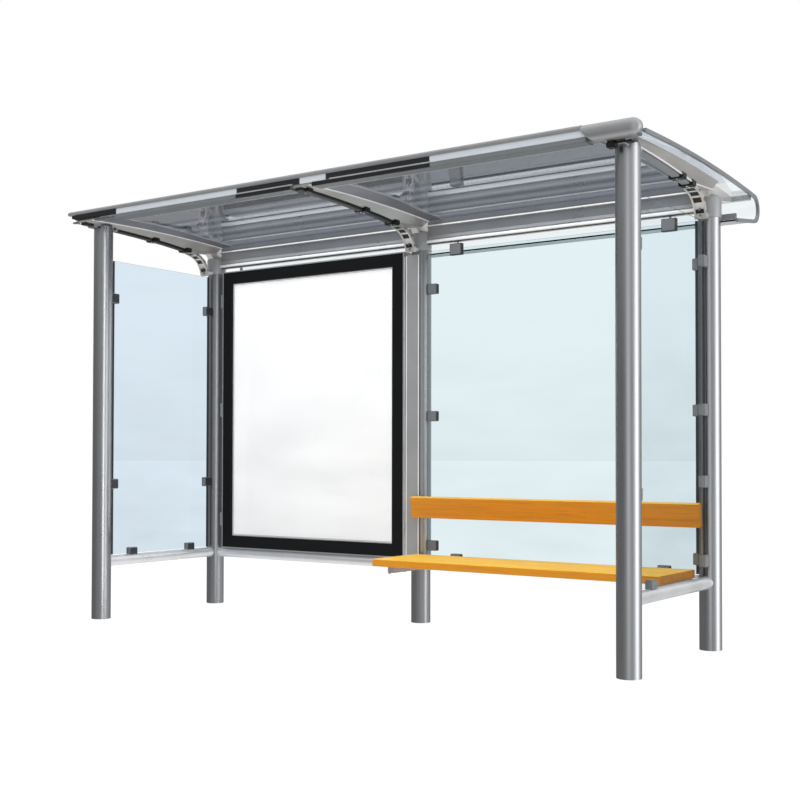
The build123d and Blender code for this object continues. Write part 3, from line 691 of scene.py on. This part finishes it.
def separate_boxes(node):
    """Boxes of a node's separate bodies, each as its lowest and highest corner."""
    shell = bmesh.new()
    shell.from_mesh(NODES[node].data)
    bmesh.ops.remove_doubles(shell, verts=shell.verts, dist=0.01 * MM)
    waiting, boxes = set(shell.verts), []
    while waiting:
        front = [waiting.pop()]
        found = list(front)
        while front:
            ahead = [edge.other_vert(vert) for vert in front for edge in vert.link_edges]
            front = [vert for vert in set(ahead) if vert in waiting]
            waiting.difference_update(front)
            found.extend(front)
        boxes.append([
            Vector([pick(vert.co[axis] for vert in found) for axis in range(3)]) / MM
            for pick in (min, max)
        ])
    shell.free()
    return sorted(boxes, key=lambda box: tuple(box[0]))


def stations(start, end, count):
    """Evenly spaced positions from start to end."""
    return [start + (end - start) * i / (count - 1) for i in range(count)]


def arc(across, up, radius, turns):
    """Points on a circle round (across, up), at turns given in degrees."""
    return [(across + radius * cos(radians(turn)), up + radius * sin(radians(turn))) for turn in turns]


def prism(outline, x_from, x_to):
    """Rings of a bar along x with a (y, z) outline."""
    return [[(x, y, z) for y, z in outline] for x in (x_from, x_to)]


def roof_height(y, under=0):
    """Height of the roof sheet's top at y, or of the surface that far under it."""
    apex_z = corners("roof_sheet_left")[1].z
    apex_y = middle("post_front_left").y + APEX_BEHIND
    return apex_z - ROOF_RADIUS + ((ROOF_RADIUS - under) ** 2 - (y - apex_y) ** 2) ** 0.5


def beam_section(low, high):
    """Closed (y, z) section of the rear beam: lip, flat face, sloped facet and round bead."""
    front, foot, top = low.y, low.z, high.z - GASKET_H
    lip = ((5, 0), (2.5, 0.7), (0.7, 2.5), (0, 5), (0, 8), (0.7, 10.5), (2.5, 12), (12, 13))
    return [
        (high.y, foot), (high.y, top), *[(front + y, top - z) for y, z in lip],
        (front + 12, foot + 48), (front + 4, foot + 30), (front + 5, foot + 25),
        *arc(front + BEAD_R, foot + BEAD_R + 2, BEAD_R, range(120, 300, 15)), (front + 24, foot),
    ]


def rib_depth(share):
    """Depth of a rib under the sheet: it grows evenly, then faster where it nears the casting."""
    growth = 0.85 * share + 0.15 * share**4
    return size("rib_front") + (size("rib_rear") - size("rib_front")) * growth


def rib_span(side):
    """Front and rear y of a rib; it runs on past the post to the roof's front edge."""
    return corners("front_purlin")[0].y + (80 if side == "right" else 12), corners(f"rib_{side}")[1].y


def rib_side(reach, depth, flared):
    """One side of a rib as (offset, depth) points, from the sheet down to its foot."""
    if flared:
        return [
            (reach, 0), (reach, 4), (FLARE + 4, 5), (FLARE, 8), (RIB_HALF + 6, depth - 18),
            (RIB_HALF, depth - 12),
        ]
    slope = reach - RIB_HALF
    return [
        (reach, 0), (reach, 3), (RIB_HALF + 0.55 * slope, 0.25 * depth),
        (RIB_HALF + 0.2 * slope, 0.55 * depth), (RIB_HALF + 2, depth - 17), (RIB_HALF, depth - 12),
    ]


def hung(x, way, y, points):
    """Ring at y of (offset, depth) points, hung under the roof sheet on one side of x."""
    top = roof_height(y, SHEET_T + 1)
    return [(x + way * out, y, top - down) for out, down in points]


def arched_rib(side):
    """A pressed rib: satin web, bright beads, a foot bar, and a dark flange under the sheet.

    One side has no flange: the outer one of an end rib, which is open, and the middle rib's left.
    """
    x, plain = middle(f"rib_{side}").x, 1 if side == "right" else -1
    front, rear = rib_span(side)
    web, foot, flange, beads = [], [], [], {-1: [], 1: []}
    for y in stations(front, corners("rear_beam_left")[0].y - 2, 40):
        share = min(1.0, (y - front) / (rear - front))
        depth = rib_depth(share) - max(0.0, y - rear) * RIB_TAPER
        wing = size("short_wing") if side == "right" else size("wing") * (1 - 0.25 * share**3)
        ring = []
        for way in (1, -1):
            flared = way != plain or side == "mid"
            bead_x, bead_down = (FLARE + 1, 8) if flared else (RIB_HALF + 1.5, depth - 12)
            reach = wing if way != plain else FLARE + 6 if flared else size("end_wing")
            ring += hung(x, way, y, rib_side(reach, depth, flared))[::way]
            beads[way].append(hung(x, way, y, [
                (bead_x + out, bead_down + down)
                for out, down in ((-2.5, -4), (3, -4), (4.5, 0), (3, 4), (-1.5, 4))
            ]))
        web.append(ring)
        lip = ((FLARE + 5, 4), (FLARE + 5, 6), (wing - 9, 5), (wing - 9, 3))
        flange.append(hung(x, -plain, y, lip))
        if y <= rear:
            bar = ((22, depth - 14), (22, depth - 1), (17, depth + 3))
            foot.append(hung(x, 1, y, bar) + hung(x, -1, y, bar)[::-1])
    skin(f"arched_rib_{side}", [web], "rib_metal", "aluminium", f"rib_{side}")
    skin(f"rib_bar_{side}", [foot], "rib_foot" if side == "right" else "rubber", "dark_trim")
    skin(f"rib_flanges_{side}", [flange], "rib_flange", "dark_trim")
    skin(f"rib_beads_{side}", list(beads.values()), "bright_edge", "aluminium")


def knee_curve(node, share):
    """Point (y, z) at a share of the way down the casting's hollow front."""
    low = corners(node)[0]
    start = (low.y, roof_height(low.y, SHEET_T + 80))
    tip = (middle("post_rear_mid").y - POST_R - 58, corners("glass_left")[1].z + 4)
    weights = ((1 - share) * (1 - 2 * share), 4 * share * (1 - share), share * (2 * share - 1))
    return tuple(
        weights[0] * near + weights[1] * ((near + far) / 2 + KNEE_BOW) + weights[2] * far
        for near, far in zip(start, tip)
    )


def knee_strip(node, x, half, start, end, out, inside):
    """Rings of a strip that lies on the casting's hollow front, from one share to another."""
    rings = []
    for share in stations(start, end, 9):
        y, z = knee_curve(node, share)
        ahead_y, ahead_z = knee_curve(node, share + 0.01)
        outward = Vector((0, ahead_z - z, y - ahead_y)).normalized()
        rings.append([
            Vector((x + side * half, y, z)) + outward * rise
            for side, rise in ((1, -inside), (1, out), (-1, out), (-1, -inside))
        ])
    return rings


def end_cap(x_from, x_to, dome):
    """Rings of the cast cap on the roof's front edge, drawn in to a dome at x_to."""
    low, high = corners("front_cap_right")
    centre, half = (low + high) / 2, (high - low) / 2
    rings = []
    for share in stations(0, 1, 40):
        x = x_from + (x_to - x_from) * (0.5 - 0.5 * cos(pi * share))
        inner = min(1.0, (x - x_from) / 50)
        outer = min(1.0, max(0.0, (x - (x_to - dome)) / dome))
        girth = max(0.02, (1 - outer**2) ** 0.5)
        foot = low.z + (1 - inner) * 1.24 * half.z
        ring = []
        for turn in stations(0, 352.5, 48):
            out, up = (copysign(abs(c) ** 0.72, c) for c in (cos(radians(turn)), sin(radians(turn))))
            ring.append((x, centre.y + girth * half.y * out, max(centre.z + girth * half.z * up, foot)))
        rings.append(ring)
    return rings


def rod(x_from, x_to, y, z, radius):
    """Rings of a round bar along x with its end at x_to rounded."""
    way = 1 if x_to > x_from else -1
    ends = [(x_from, 1)] + [
        (x_to - way * radius * (1 - sin(radians(turn))), cos(radians(turn)))
        for turn in (0, 30, 55, 75, 88)
    ]
    return [
        [(x, *point) for point in arc(y, z, share * radius, range(0, 360, 15))] for x, share in ends
    ]


def face_plate(x, low, high):
    """Thin plate on a clip's inner face at x, a little smaller than the clip."""
    return (x - 1.2, low.y + 4, low.z + 4), (x + 1.2, high.y - 4, high.z - 4)


# ---------------------------------------------------------------- stage, with lengths in metres


def add_floor(tone):
    """A wide floor that glows evenly, so that it stays pale up to the horizon."""
    mesh = bpy.data.meshes.new("floor")
    disc = bmesh.new()
    bmesh.ops.create_circle(disc, cap_ends=True, radius=300.0, segments=96)
    disc.to_mesh(mesh)
    disc.free()
    paint, add = empty_material("floor_paint")
    shader = add(
        "ShaderNodeBsdfPrincipled",
        {"Base Color": tone, "Roughness": 0.9, "Emission Color": (1, 1, 1, 1),
         "Emission Strength": 0.97},
    )
    add("ShaderNodeOutputMaterial", {"Surface": shader})
    mesh.materials.append(paint)
    floor = link_mesh("floor", mesh)
    floor.visible_glossy = False


def add_camera(scene):
    """The camera, at eye height off the shelter's right front corner."""
    data = bpy.data.cameras.new("camera")
    data.lens = 55.0
    data.sensor_width = 36.0
    data.shift_y = 0.0386
    camera = bpy.data.objects.new("camera", data)
    yaw, pitch, roll = 0.6116, 0.0213, 0.0016
    camera.location = (4.0173, -5.6416, 0.9789)
    turn = Matrix.Rotation(yaw, 4, "Z") @ Matrix.Rotation(pi / 2 + pitch, 4, "X")
    camera.rotation_euler = (turn @ Matrix.Rotation(roll, 4, "Z")).to_euler()
    scene.collection.objects.link(camera)
    scene.camera = camera


def add_lamps(scene):
    """A softbox above for the matt surfaces, and cards that only the glossy ones mirror."""
    # name, place, aimed at, width, height, watts, spread in degrees, lights matt surfaces too
    softboxes = (
        ("top", (0.3, -1.2, 7.0), (0.2, -0.1, 0.0), 9.0, 7.0, 600, 180, True),
        ("front_right_card", (2.4, -0.45, 1.4), (1.726, -0.6, 1.4), 0.75, 3.6, 2.6, 60, False),
        ("rear_right_card", (2.4, 0.52, 1.4), (1.726, 0.39, 1.4), 0.75, 3.6, 2.6, 60, False),
        ("near_card", (2.4, -2.2, 1.4), (1.726, -0.6, 1.4), 1.6, 3.6, 1.1, 50, False),
        ("front_card", (0.6, -1.7, 1.3), (-1.726, -0.6, 1.3), 0.5, 3.0, 1.5, 50, False),
    )
    for name, place, aim, width, height, power, spread, on_matt in softboxes:
        data = bpy.data.lights.new(name, "AREA")
        data.shape = "RECTANGLE"
        data.size, data.size_y = width, height
        data.energy = power
        data.spread = radians(spread)
        lamp = bpy.data.objects.new(name, data)
        lamp.location = place
        lamp.rotation_euler = (Vector(aim) - Vector(place)).to_track_quat("-Z", "Y").to_euler()
        lamp.visible_camera = False
        lamp.visible_transmission = False
        lamp.visible_diffuse = on_matt
        lamp.visible_glossy = not on_matt
        scene.collection.objects.link(lamp)


def add_room(scene):
    """The room: white behind the shelter and for matt surfaces; in the metal's reflections it is
    dim on the left and light on the right, above and below.
    """
    world = bpy.data.worlds.new("studio")
    scene.world = world
    world.use_nodes = True
    world.node_tree.nodes.clear()
    add = partial(add_node, world.node_tree)
    rays = add("ShaderNodeLightPath").outputs
    way = add("ShaderNodeTexCoord").outputs["Generated"]
    to_left = add("ShaderNodeVectorMath", {0: way, 1: (-0.97, -0.22, 0.0)}, operation="DOT_PRODUCT")
    height = add("ShaderNodeSeparateXYZ", {0: way}).outputs["Z"]
    # level of each wall in turn: direction, where it starts and is full, its level at the two
    walls = (
        (to_left, 0.2, 0.6, 0.45, 0.28), (to_left, -0.35, -0.8, 0.0, 0.3),
        (height, 0.1, 0.7, 0.0, 1.0), (height, -0.2, -0.8, 0.0, 0.85),
    )
    level = None
    for direction, start, full, near, far in walls:
        wall = add(
            "ShaderNodeMapRange",
            {"Value": direction, "From Min": start, "From Max": full, "To Min": near, "To Max": far},
        )
        level = add("ShaderNodeMath", {0: level, 1: wall}) if level else wall
    mirrored = add("ShaderNodeBackground", {"Strength": level})
    plain = add("ShaderNodeBackground", {"Color": (1, 1, 1, 1)})
    soft = add("ShaderNodeBackground", {"Color": (1, 1, 1, 1), "Strength": 0.5})
    bounced = add(
        "ShaderNodeMath", {0: rays["Is Glossy Ray"], 1: rays["Is Transmission Ray"]},
        operation="SUBTRACT",
    )
    shiny = add("ShaderNodeMixShader", {0: bounced, 1: plain, 2: mirrored})
    seen = add("ShaderNodeMixShader", {0: rays["Is Diffuse Ray"], 1: shiny, 2: soft})
    add("ShaderNodeOutputWorld", {"Surface": seen})


# ---------------------------------------------------------------- operators


class SHELTER_OT_tubes(bpy.types.Operator):
    """Satin stainless posts and low rails"""

    bl_idname = "shelter.tubes"
    bl_label = "Posts and rails"

    def execute(self, context):
        dress([node for node in NODES if node.startswith("post_")], "stainless_upright")
        dress(["rail_rear_left", "rail_rear_right", "rail_left", "rail_right"], "rail_metal")
        return {"FINISHED"}


class SHELTER_OT_bars(bpy.types.Operator):
    """Rear beam, arched ribs and the rear purlin"""

    bl_idname = "shelter.bars"
    bl_label = "Beam, ribs and purlin"

    def execute(self, context):
        for side in ("left", "right"):
            node = f"rear_beam_{side}"
            low, high = corners(node)
            front, foot, top = low.y, low.z, high.z - GASKET_H
            bead = (front + BEAD_R, foot + BEAD_R + 2)
            turns = range(115, 216, 20)
            outlines = (
                ("lip", "bright_edge", "aluminium",
                 [(front - 0.6, top - 2), (front - 0.6, top - 9), (front + 2, top - 9),
                  (front + 2, top - 2)]),
                ("facet", "anodised", "aluminium",
                 [(front + 11.5, foot + 48), (front + 3.2, foot + 30), (front + 6, foot + 29),
                  (front + 14, foot + 47)]),
                ("bead", "bright_edge", "aluminium",
                 arc(*bead, 12, turns) + arc(*bead, 10, turns[::-1])),
                ("joint", "rubber", "dark_trim",
                 [(front + 7, foot), (front + 22, foot), (front + 22, foot + 3), (front + 7, foot + 3)]),
            )
            skin(
                f"beam_{side}", [prism(beam_section(low, high), low.x, high.x)], "beam_metal",
                "aluminium", node,
            )
            blocks(
                f"beam_gasket_{side}",
                [((low.x, front + 12, top - 1), (high.x, front + 20, roof_height(front + 12, SHEET_T)))],
                0, "trim", "dark_trim",
            )
            for part, paint, slot, outline in outlines:
                skin(f"beam_{part}_{side}", [prism(outline, low.x, high.x)], paint, slot)
        for side in SIDES:
            arched_rib(side)
        dress(["rear_purlin"], "aluminium_long")
        return {"FINISHED"}


class SHELTER_OT_front_edge(bpy.types.Operator):
    """Grey bead, frosted strip, purlin and end caps along the roof's front"""

    bl_idname = "shelter.front_edge"
    bl_label = "Front edge"

    def execute(self, context):
        dress(["front_bead"], "bead")
        dress(["front_fascia"], "front_strip")
        dress(["roof_trim_left", "roof_trim_right"], "trim")

        # the purlin's box, open where the middle rib passes, with its lip and dark covers
        low, high = corners("front_purlin")
        front, foot, top = low.y, low.z, high.z
        rear = front + PURLIN_DEPTH
        left, right = PURLIN_ENDS
        gap_left, gap_right = (middle("rib_mid").x + reach for reach in (-46, 100))
        lengths = ((left, gap_left), (gap_right, right))
        blocks(
            "purlin",
            [((x_from, front, foot), (x_to, rear, top)) for x_from, x_to in lengths] + [
                ((low.x, rear - 45, top - 10), (left + 20, rear - 20, top - 1)),
                ((right - 10, rear - 50, foot + 4), (high.x, rear - 10, top - 4)),
            ],
            1.5, "purlin", "aluminium", "front_purlin",
        )
        blocks(
            "purlin_lip",
            [((x_from, rear - 1, foot - 1), (x_to, rear + 8, foot + 6)) for x_from, x_to in lengths],
            1, "anodised", "aluminium",
        )
        post_x = middle("post_front_right").x
        blocks(
            "cap_pad", [((post_x - 31, rear - 8, foot - 9), (post_x + 64, rear + 32, foot))],
            2, "rubber", "black_clamp",
        )
        blocks(
            "purlin_covers",
            [((x_from, front - 2, foot + 1), (x_to, front + 1, top - 3))
             for x_from, x_to in ((SMOKED[0], gap_left), (gap_right, SMOKED[1]))],
            0.5, "rubber", "dark_trim",
        )
        blocks(
            "strip_joint",
            [((x_from, front - 3, top - 3), (x_to, front + 3, top + 4))
             for x_from, x_to in ((SMOKED[0], HEAD_WINDOW[0] - 50), (HEAD_WINDOW[1] + 30, SMOKED[1]))],
            1, "anodised", "aluminium",
        )

        # right end: the strip runs on under a domed cap
        cap_low, cap_high = corners("front_cap_right")
        skin(
            "end_cap_right", [end_cap(cap_low.x, cap_high.x, 42)], "cap_metal", "grey_cap",
            "front_cap_right",
        )
        low, high = corners("front_fascia")
        blocks(
            "strip_end", [((high.x - 1, *low.yz), (high.x + 60, *high.yz))], 0, "front_strip",
            "frosted_strip",
        )

        # left end: the bead runs on as a round rod over black blocks
        bead, radius = middle("front_bead"), corners("front_bead")[1].z - middle("front_bead").z
        cap_low, cap_high = corners("front_cap_left")
        skin(
            "end_rod_left", [rod(cap_high.x, cap_low.x, bead.y, bead.z, radius)], "bead", "grey_cap",
            "front_cap_left",
        )
        back, roof = cap_high.y - 8, bead.z - 8
        blocks(
            "end_block_left",
            [
                ((cap_low.x + 62, cap_low.y + 9, top + 2), (cap_high.x + 7, back, roof)),
                ((cap_low.x + 30, cap_low.y + 14, top + 13), (cap_low.x + 67, back, roof)),
                ((cap_high.x - 3, low.y - 7, top - 1), (left + 5, low.y + 2, roof)),
            ],
            3, "rubber", "black_clamp",
        )
        return {"FINISHED"}


class SHELTER_OT_castings(bpy.types.Operator):
    """Castings on the post heads, their clamps and bolts"""

    bl_idname = "shelter.castings"
    bl_label = "Castings and clamps"

    def execute(self, context):
        bolts = []
        rear_y, post_top = middle("post_rear_mid").y, corners("post_rear_mid")[1].z
        post_face = rear_y - POST_R
        collar_foot, collar_top = COLLAR
        # (radius, z) points of the collar and its domed head
        collar = (
            (62.3, collar_foot), (62.6, collar_foot + 2), (62.6, collar_top - 12),
            (60.5, collar_top - 3), (55, collar_top + 6), (44, collar_top + 13),
            (28, collar_top + 18), (8, collar_top + 20),
        )
        for side in SIDES:
            node = f"rib_casting_{side}"
            x, (low, high) = middle(node).x, corners(node)
            arm = [(y, roof_height(y, SHEET_T + 1)) for y in stations(low.y, high.y, 12)]
            arm += [
                (high.y, arm[-1][1] - 26), (rear_y + POST_R, post_top - 4), (post_face, post_top - 4),
                (post_face - 24, post_top + 24), (low.y + 80, post_top + 17), (low.y, arm[0][1] - 80),
            ]
            y, z = knee_curve(node, 0.97)
            foot_plate = [(y, z), (post_face, z + 8), (post_face, z + 26), (y + 4, z + 22)]
            hook = knee_strip(node, x, HOOK_HALF, 0, 1, 0, 16)
            body = [
                prism(outline, x - ARM_HALF, x + ARM_HALF) for outline in (arm, foot_plate)
            ] + [hook]
            skin(f"cast_knee_{side}", body, "cast_satin", "cast_metal", node)
            rails = [
                knee_strip(node, x + way * (HOOK_HALF - 4), 4.5, 0.02, 0.98, 4, 2) for way in (-1, 1)
            ]
            skin(f"knee_rails_{side}", rails, "cast_satin", "cast_metal")
            windows = [
                knee_strip(node, x, HOOK_HALF - 9, start, end, 1, 2)
                for start, end in ((0.05, 0.18), (0.25, 0.39), (0.46, 0.61), (0.78, 0.88))
            ]
            skin(f"knee_windows_{side}", windows, "rubber", "dark_trim")
            rings = [
                [(*point, z) for point in arc(x, rear_y, radius, range(0, 360, 9))]
                for radius, z in collar
            ]
            skin(f"post_collar_{side}", [rings], "anodised", "cast_metal")
            for share in (0.2, 0.55, 0.85):
                y, z = knee_curve(node, share)
                bolts += [((x + way * HOOK_HALF, y + 8, z + 3), (way, 0, 0)) for way in (-1, 1)]
            for share in (0.78, 0.92):
                y, z = knee_curve(node, share)
                bolts.append(((x, y - 1, z - 1), (0, -1, -0.3)))

        purlin_foot = corners("front_purlin")[0].z
        foot = purlin_foot - 14
        for side in ("left", "right"):
            post = middle(f"post_front_{side}")
            head = roof_height(post.y, SHEET_T) - 1
            blocks(
                f"head_block_{side}",
                [((post.x - 32, post.y - 100, foot), (post.x + 32, post.y + 90, head))],
                4, "casting", "cast_metal", f"head_casting_{side}",
            )
        blocks(
            "head_clamp_right",
            [((post.x - 52, PURLIN_CLAMP_Y - 22, foot - 14),
              (post.x - 10, PURLIN_CLAMP_Y + 22, foot + 16))],
            5, "rubber", "black_clamp",
        )
        screws("casting_bolts", bolts, size("bolt_r"), size("bolt_h"))

        clamps, knobs = [], []
        wide, long, tall = (size(name) / 2 for name in ("clamp_wide", "clamp_long", "clamp_high"))
        for side, places in RIB_CLAMPS.items():
            front, rear = rib_span(side)
            x = middle(f"rib_{side}").x
            for y in places:
                z = roof_height(y, SHEET_T) - rib_depth((y - front) / (rear - front)) + 9
                clamps.append(((x - wide, y - long, z - tall), (x + wide, y + long, z + tall)))
                knobs += [((x, y + ahead * long / 2, z - tall), (0, 0, -1)) for ahead in (-1, 1)]
        x, foot = middle("rib_mid").x, purlin_foot - 9
        clamps.append(
            ((x - wide, PURLIN_CLAMP_Y - 27, foot), (x + wide, PURLIN_CLAMP_Y + 25, foot + 24))
        )
        knobs.append(((x, PURLIN_CLAMP_Y, foot), (0, 0, -1)))
        blocks("rib_clamp_blocks", clamps, 5, "rubber", "black_clamp", "rib_clamps")
        screws("clamp_bolts", knobs, 0.8 * size("bolt_r"), size("bolt_h"))
        return {"FINISHED"}


class SHELTER_OT_roof(bpy.types.Operator):
    """Clear roof sheets with soft stripes"""

    bl_idname = "shelter.roof"
    bl_label = "Roof sheets"

    def execute(self, context):
        dress(["roof_sheet_left", "roof_sheet_right"], "roof_sheet")
        return {"FINISHED"}


class SHELTER_OT_glass(bpy.types.Operator):
    """Glass screens, their seals and the clips that hold them"""

    bl_idname = "shelter.glass"
    bl_label = "Glass and clips"

    def execute(self, context):
        for side, paint in (("left", "glass_side"), ("right", "glass_plain"), ("rear", "glass_rear")):
            dress([f"glass_{side}"], paint)
        rounding = size("edge_round")
        plates, heads = [], []
        for side, way in (("left", -1), ("right", 1)):
            node = f"clips_{side}"
            boxes = separate_boxes(node)
            blocks(f"glass_clips_{side}", boxes, rounding, "clip", "dark_clip", node)
            for low, high in boxes:
                outside, inside = (low.x, high.x) if side == "left" else (high.x, low.x)
                plates.append(face_plate(inside, low, high))
                heads.append(((outside, *((low + high) / 2).yz), (way, 0, 0)))

        # the rear glass stands in clips, and hangs from the beam in wider ones on arms
        beam_foot = corners("rear_beam_left")[0].z
        clips, arms = [], []
        for low, high in separate_boxes("clips_rear"):
            if high.z > beam_foot - 1:
                shift = HANGER_SHIFT if low.x > middle("glass_rear").x else 0
                low, high = low + Vector((shift - 4, 0, -2)), high + Vector((shift + 4, 0, -13))
                plates.append((low + Vector((-3, 4, -3)), high + Vector((3, -4, 2))))
                x = (low.x + high.x) / 2
                arms.append(((x - 5, high.y - 6, high.z - 10), (x + 5, high.y - 1, beam_foot + 1)))
            clips.append((low, high))
            plates.append(face_plate(high.x, low, high))
            heads.append((((low.x + high.x) / 2, high.y, (low.z + high.z) / 2), (0, 1, 0)))
        blocks("glass_clips_rear", clips, rounding, "clip", "dark_clip", "clips_rear")
        blocks("clip_plates", plates, 0.4, "seal", "dark_clip")
        blocks("clip_arms", arms, 1, "anodised", "aluminium")
        screws("clip_screws", heads, size("screw_r"), size("screw_h"), sides=24)

        low, high = corners("glass_rear")
        seals = [((high.x - 2, low.y - 3, low.z), (high.x + 9, high.y + 3, high.z - 1))]
        for side in ("left", "right"):
            low, high = corners(f"glass_{side}")
            for edge in (low.y, high.y):
                seals.append(((low.x - 2, edge - 3, low.z), (high.x + 2, edge + 4, high.z - 1)))
        blocks("glass_seals", seals, 0, "seal", "dark_trim")
        return {"FINISHED"}


class SHELTER_OT_case(bpy.types.Operator):
    """Poster case: black frame, clear glazing, bare poster and the tray behind"""

    bl_idname = "shelter.case"
    bl_label = "Poster case"

    def execute(self, context):
        dress(["case_tray", "case_channel"], "anodised")
        dress(["case_glazing"], "glass_case")
        dress(["poster"], "paper")
        low, high = corners("case_channel")
        blocks(
            "channel_lips",
            [((x - 5, low.y - 2, low.z), (x + 5, high.y, high.z)) for x in (low.x + 6, high.x - 5)],
            2.5, "bright_edge", "aluminium",
        )
        foot, top = low.z, high.z
        low, high = corners("case_frame")
        front, back = low.y, high.y
        blocks(
            "tray_lip", [((high.x, back - 14, foot), (high.x + 12, back, top))], 1, "bright_edge",
            "aluminium",
        )
        width, soft = size("frame_wide"), size("edge_round")
        profile = [
            (0, back), (0, front + soft), (soft, front), (width - soft, front), (width, front + soft),
            (width, back),
        ]
        mitred_frame("case_front_frame", low, high, profile, "frame_black", "black_frame", "case_frame")
        face = corners("case_glazing")[0].y
        for name, inset, wide in (("poster_bead_outer", 1, 4), ("poster_bead_inner", 8, 3)):
            near = width + inset
            far = near + wide
            profile = [(near, face), (near, face - 2), (far, face - 2), (far, face)]
            mitred_frame(name, low, high, profile, "poster_bead", "white_poster")
        return {"FINISHED"}


class SHELTER_OT_bench(bpy.types.Operator):
    """Planks of the bench, their brackets and bolts"""

    bl_idname = "shelter.bench"
    bl_label = "Bench"

    def execute(self, context):
        planks = ("seat_plank_front", "seat_plank_middle", "seat_plank_rear")
        dress([*planks, "backrest_plank"], "wood")
        dress(["seat_brackets", "back_stubs"], "anodised")
        bolts = [
            (((low.x + high.x) / 2, middle(plank).y, low.z), (0, 0, -1))
            for low, high in separate_boxes("seat_brackets")
            for plank in planks
        ]
        screws("bench_bolts", bolts, size("bolt_r"), size("bolt_h"))
        return {"FINISHED"}


class SHELTER_OT_stage(bpy.types.Operator):
    """Pale floor, soft studio light and the camera"""

    bl_idname = "shelter.stage"
    bl_label = "Stage"

    def execute(self, context):
        scene = context.scene
        scene.view_settings.view_transform = "Standard"
        add_floor(scene.shelter_finishes.floor)
        add_camera(scene)
        add_lamps(scene)
        add_room(scene)
        return {"FINISHED"}


OPERATORS = (
    SHELTER_OT_tubes,
    SHELTER_OT_bars,
    SHELTER_OT_front_edge,
    SHELTER_OT_castings,
    SHELTER_OT_roof,
    SHELTER_OT_glass,
    SHELTER_OT_case,
    SHELTER_OT_bench,
    SHELTER_OT_stage,
)


class SHELTER_PT_panel(bpy.types.Panel):
    """Sidebar panel that lists the shelter's steps"""

    bl_idname = "SHELTER_PT_panel"
    bl_label = "Bus Shelter"
    bl_space_type = "VIEW_3D"
    bl_region_type = "UI"
    bl_category = "Shelter"

    def draw(self, context):
        for group in (context.scene.shelter_finishes, context.scene.shelter_sizes):
            for name in group.__annotations__:
                self.layout.prop(group, name)
        for operator in OPERATORS:
            self.layout.operator(operator.bl_idname)


CLASSES = (ShelterFinishes, ShelterSizes, *OPERATORS, SHELTER_PT_panel)


def register():
    for item in CLASSES:
        bpy.utils.register_class(item)
    bpy.types.Scene.shelter_finishes = bpy.props.PointerProperty(type=ShelterFinishes)
    bpy.types.Scene.shelter_sizes = bpy.props.PointerProperty(type=ShelterSizes)


def unregister():
    del bpy.types.Scene.shelter_sizes
    del bpy.types.Scene.shelter_finishes
    for item in reversed(CLASSES):
        bpy.utils.unregister_class(item)


def main():
    """Build every piece in order and note the two boxes."""
    register()
    for operator in OPERATORS:
        step = operator.bl_idname.split(".")[1]
        getattr(bpy.ops.shelter, step)()


if __name__ == "__main__":
    main()
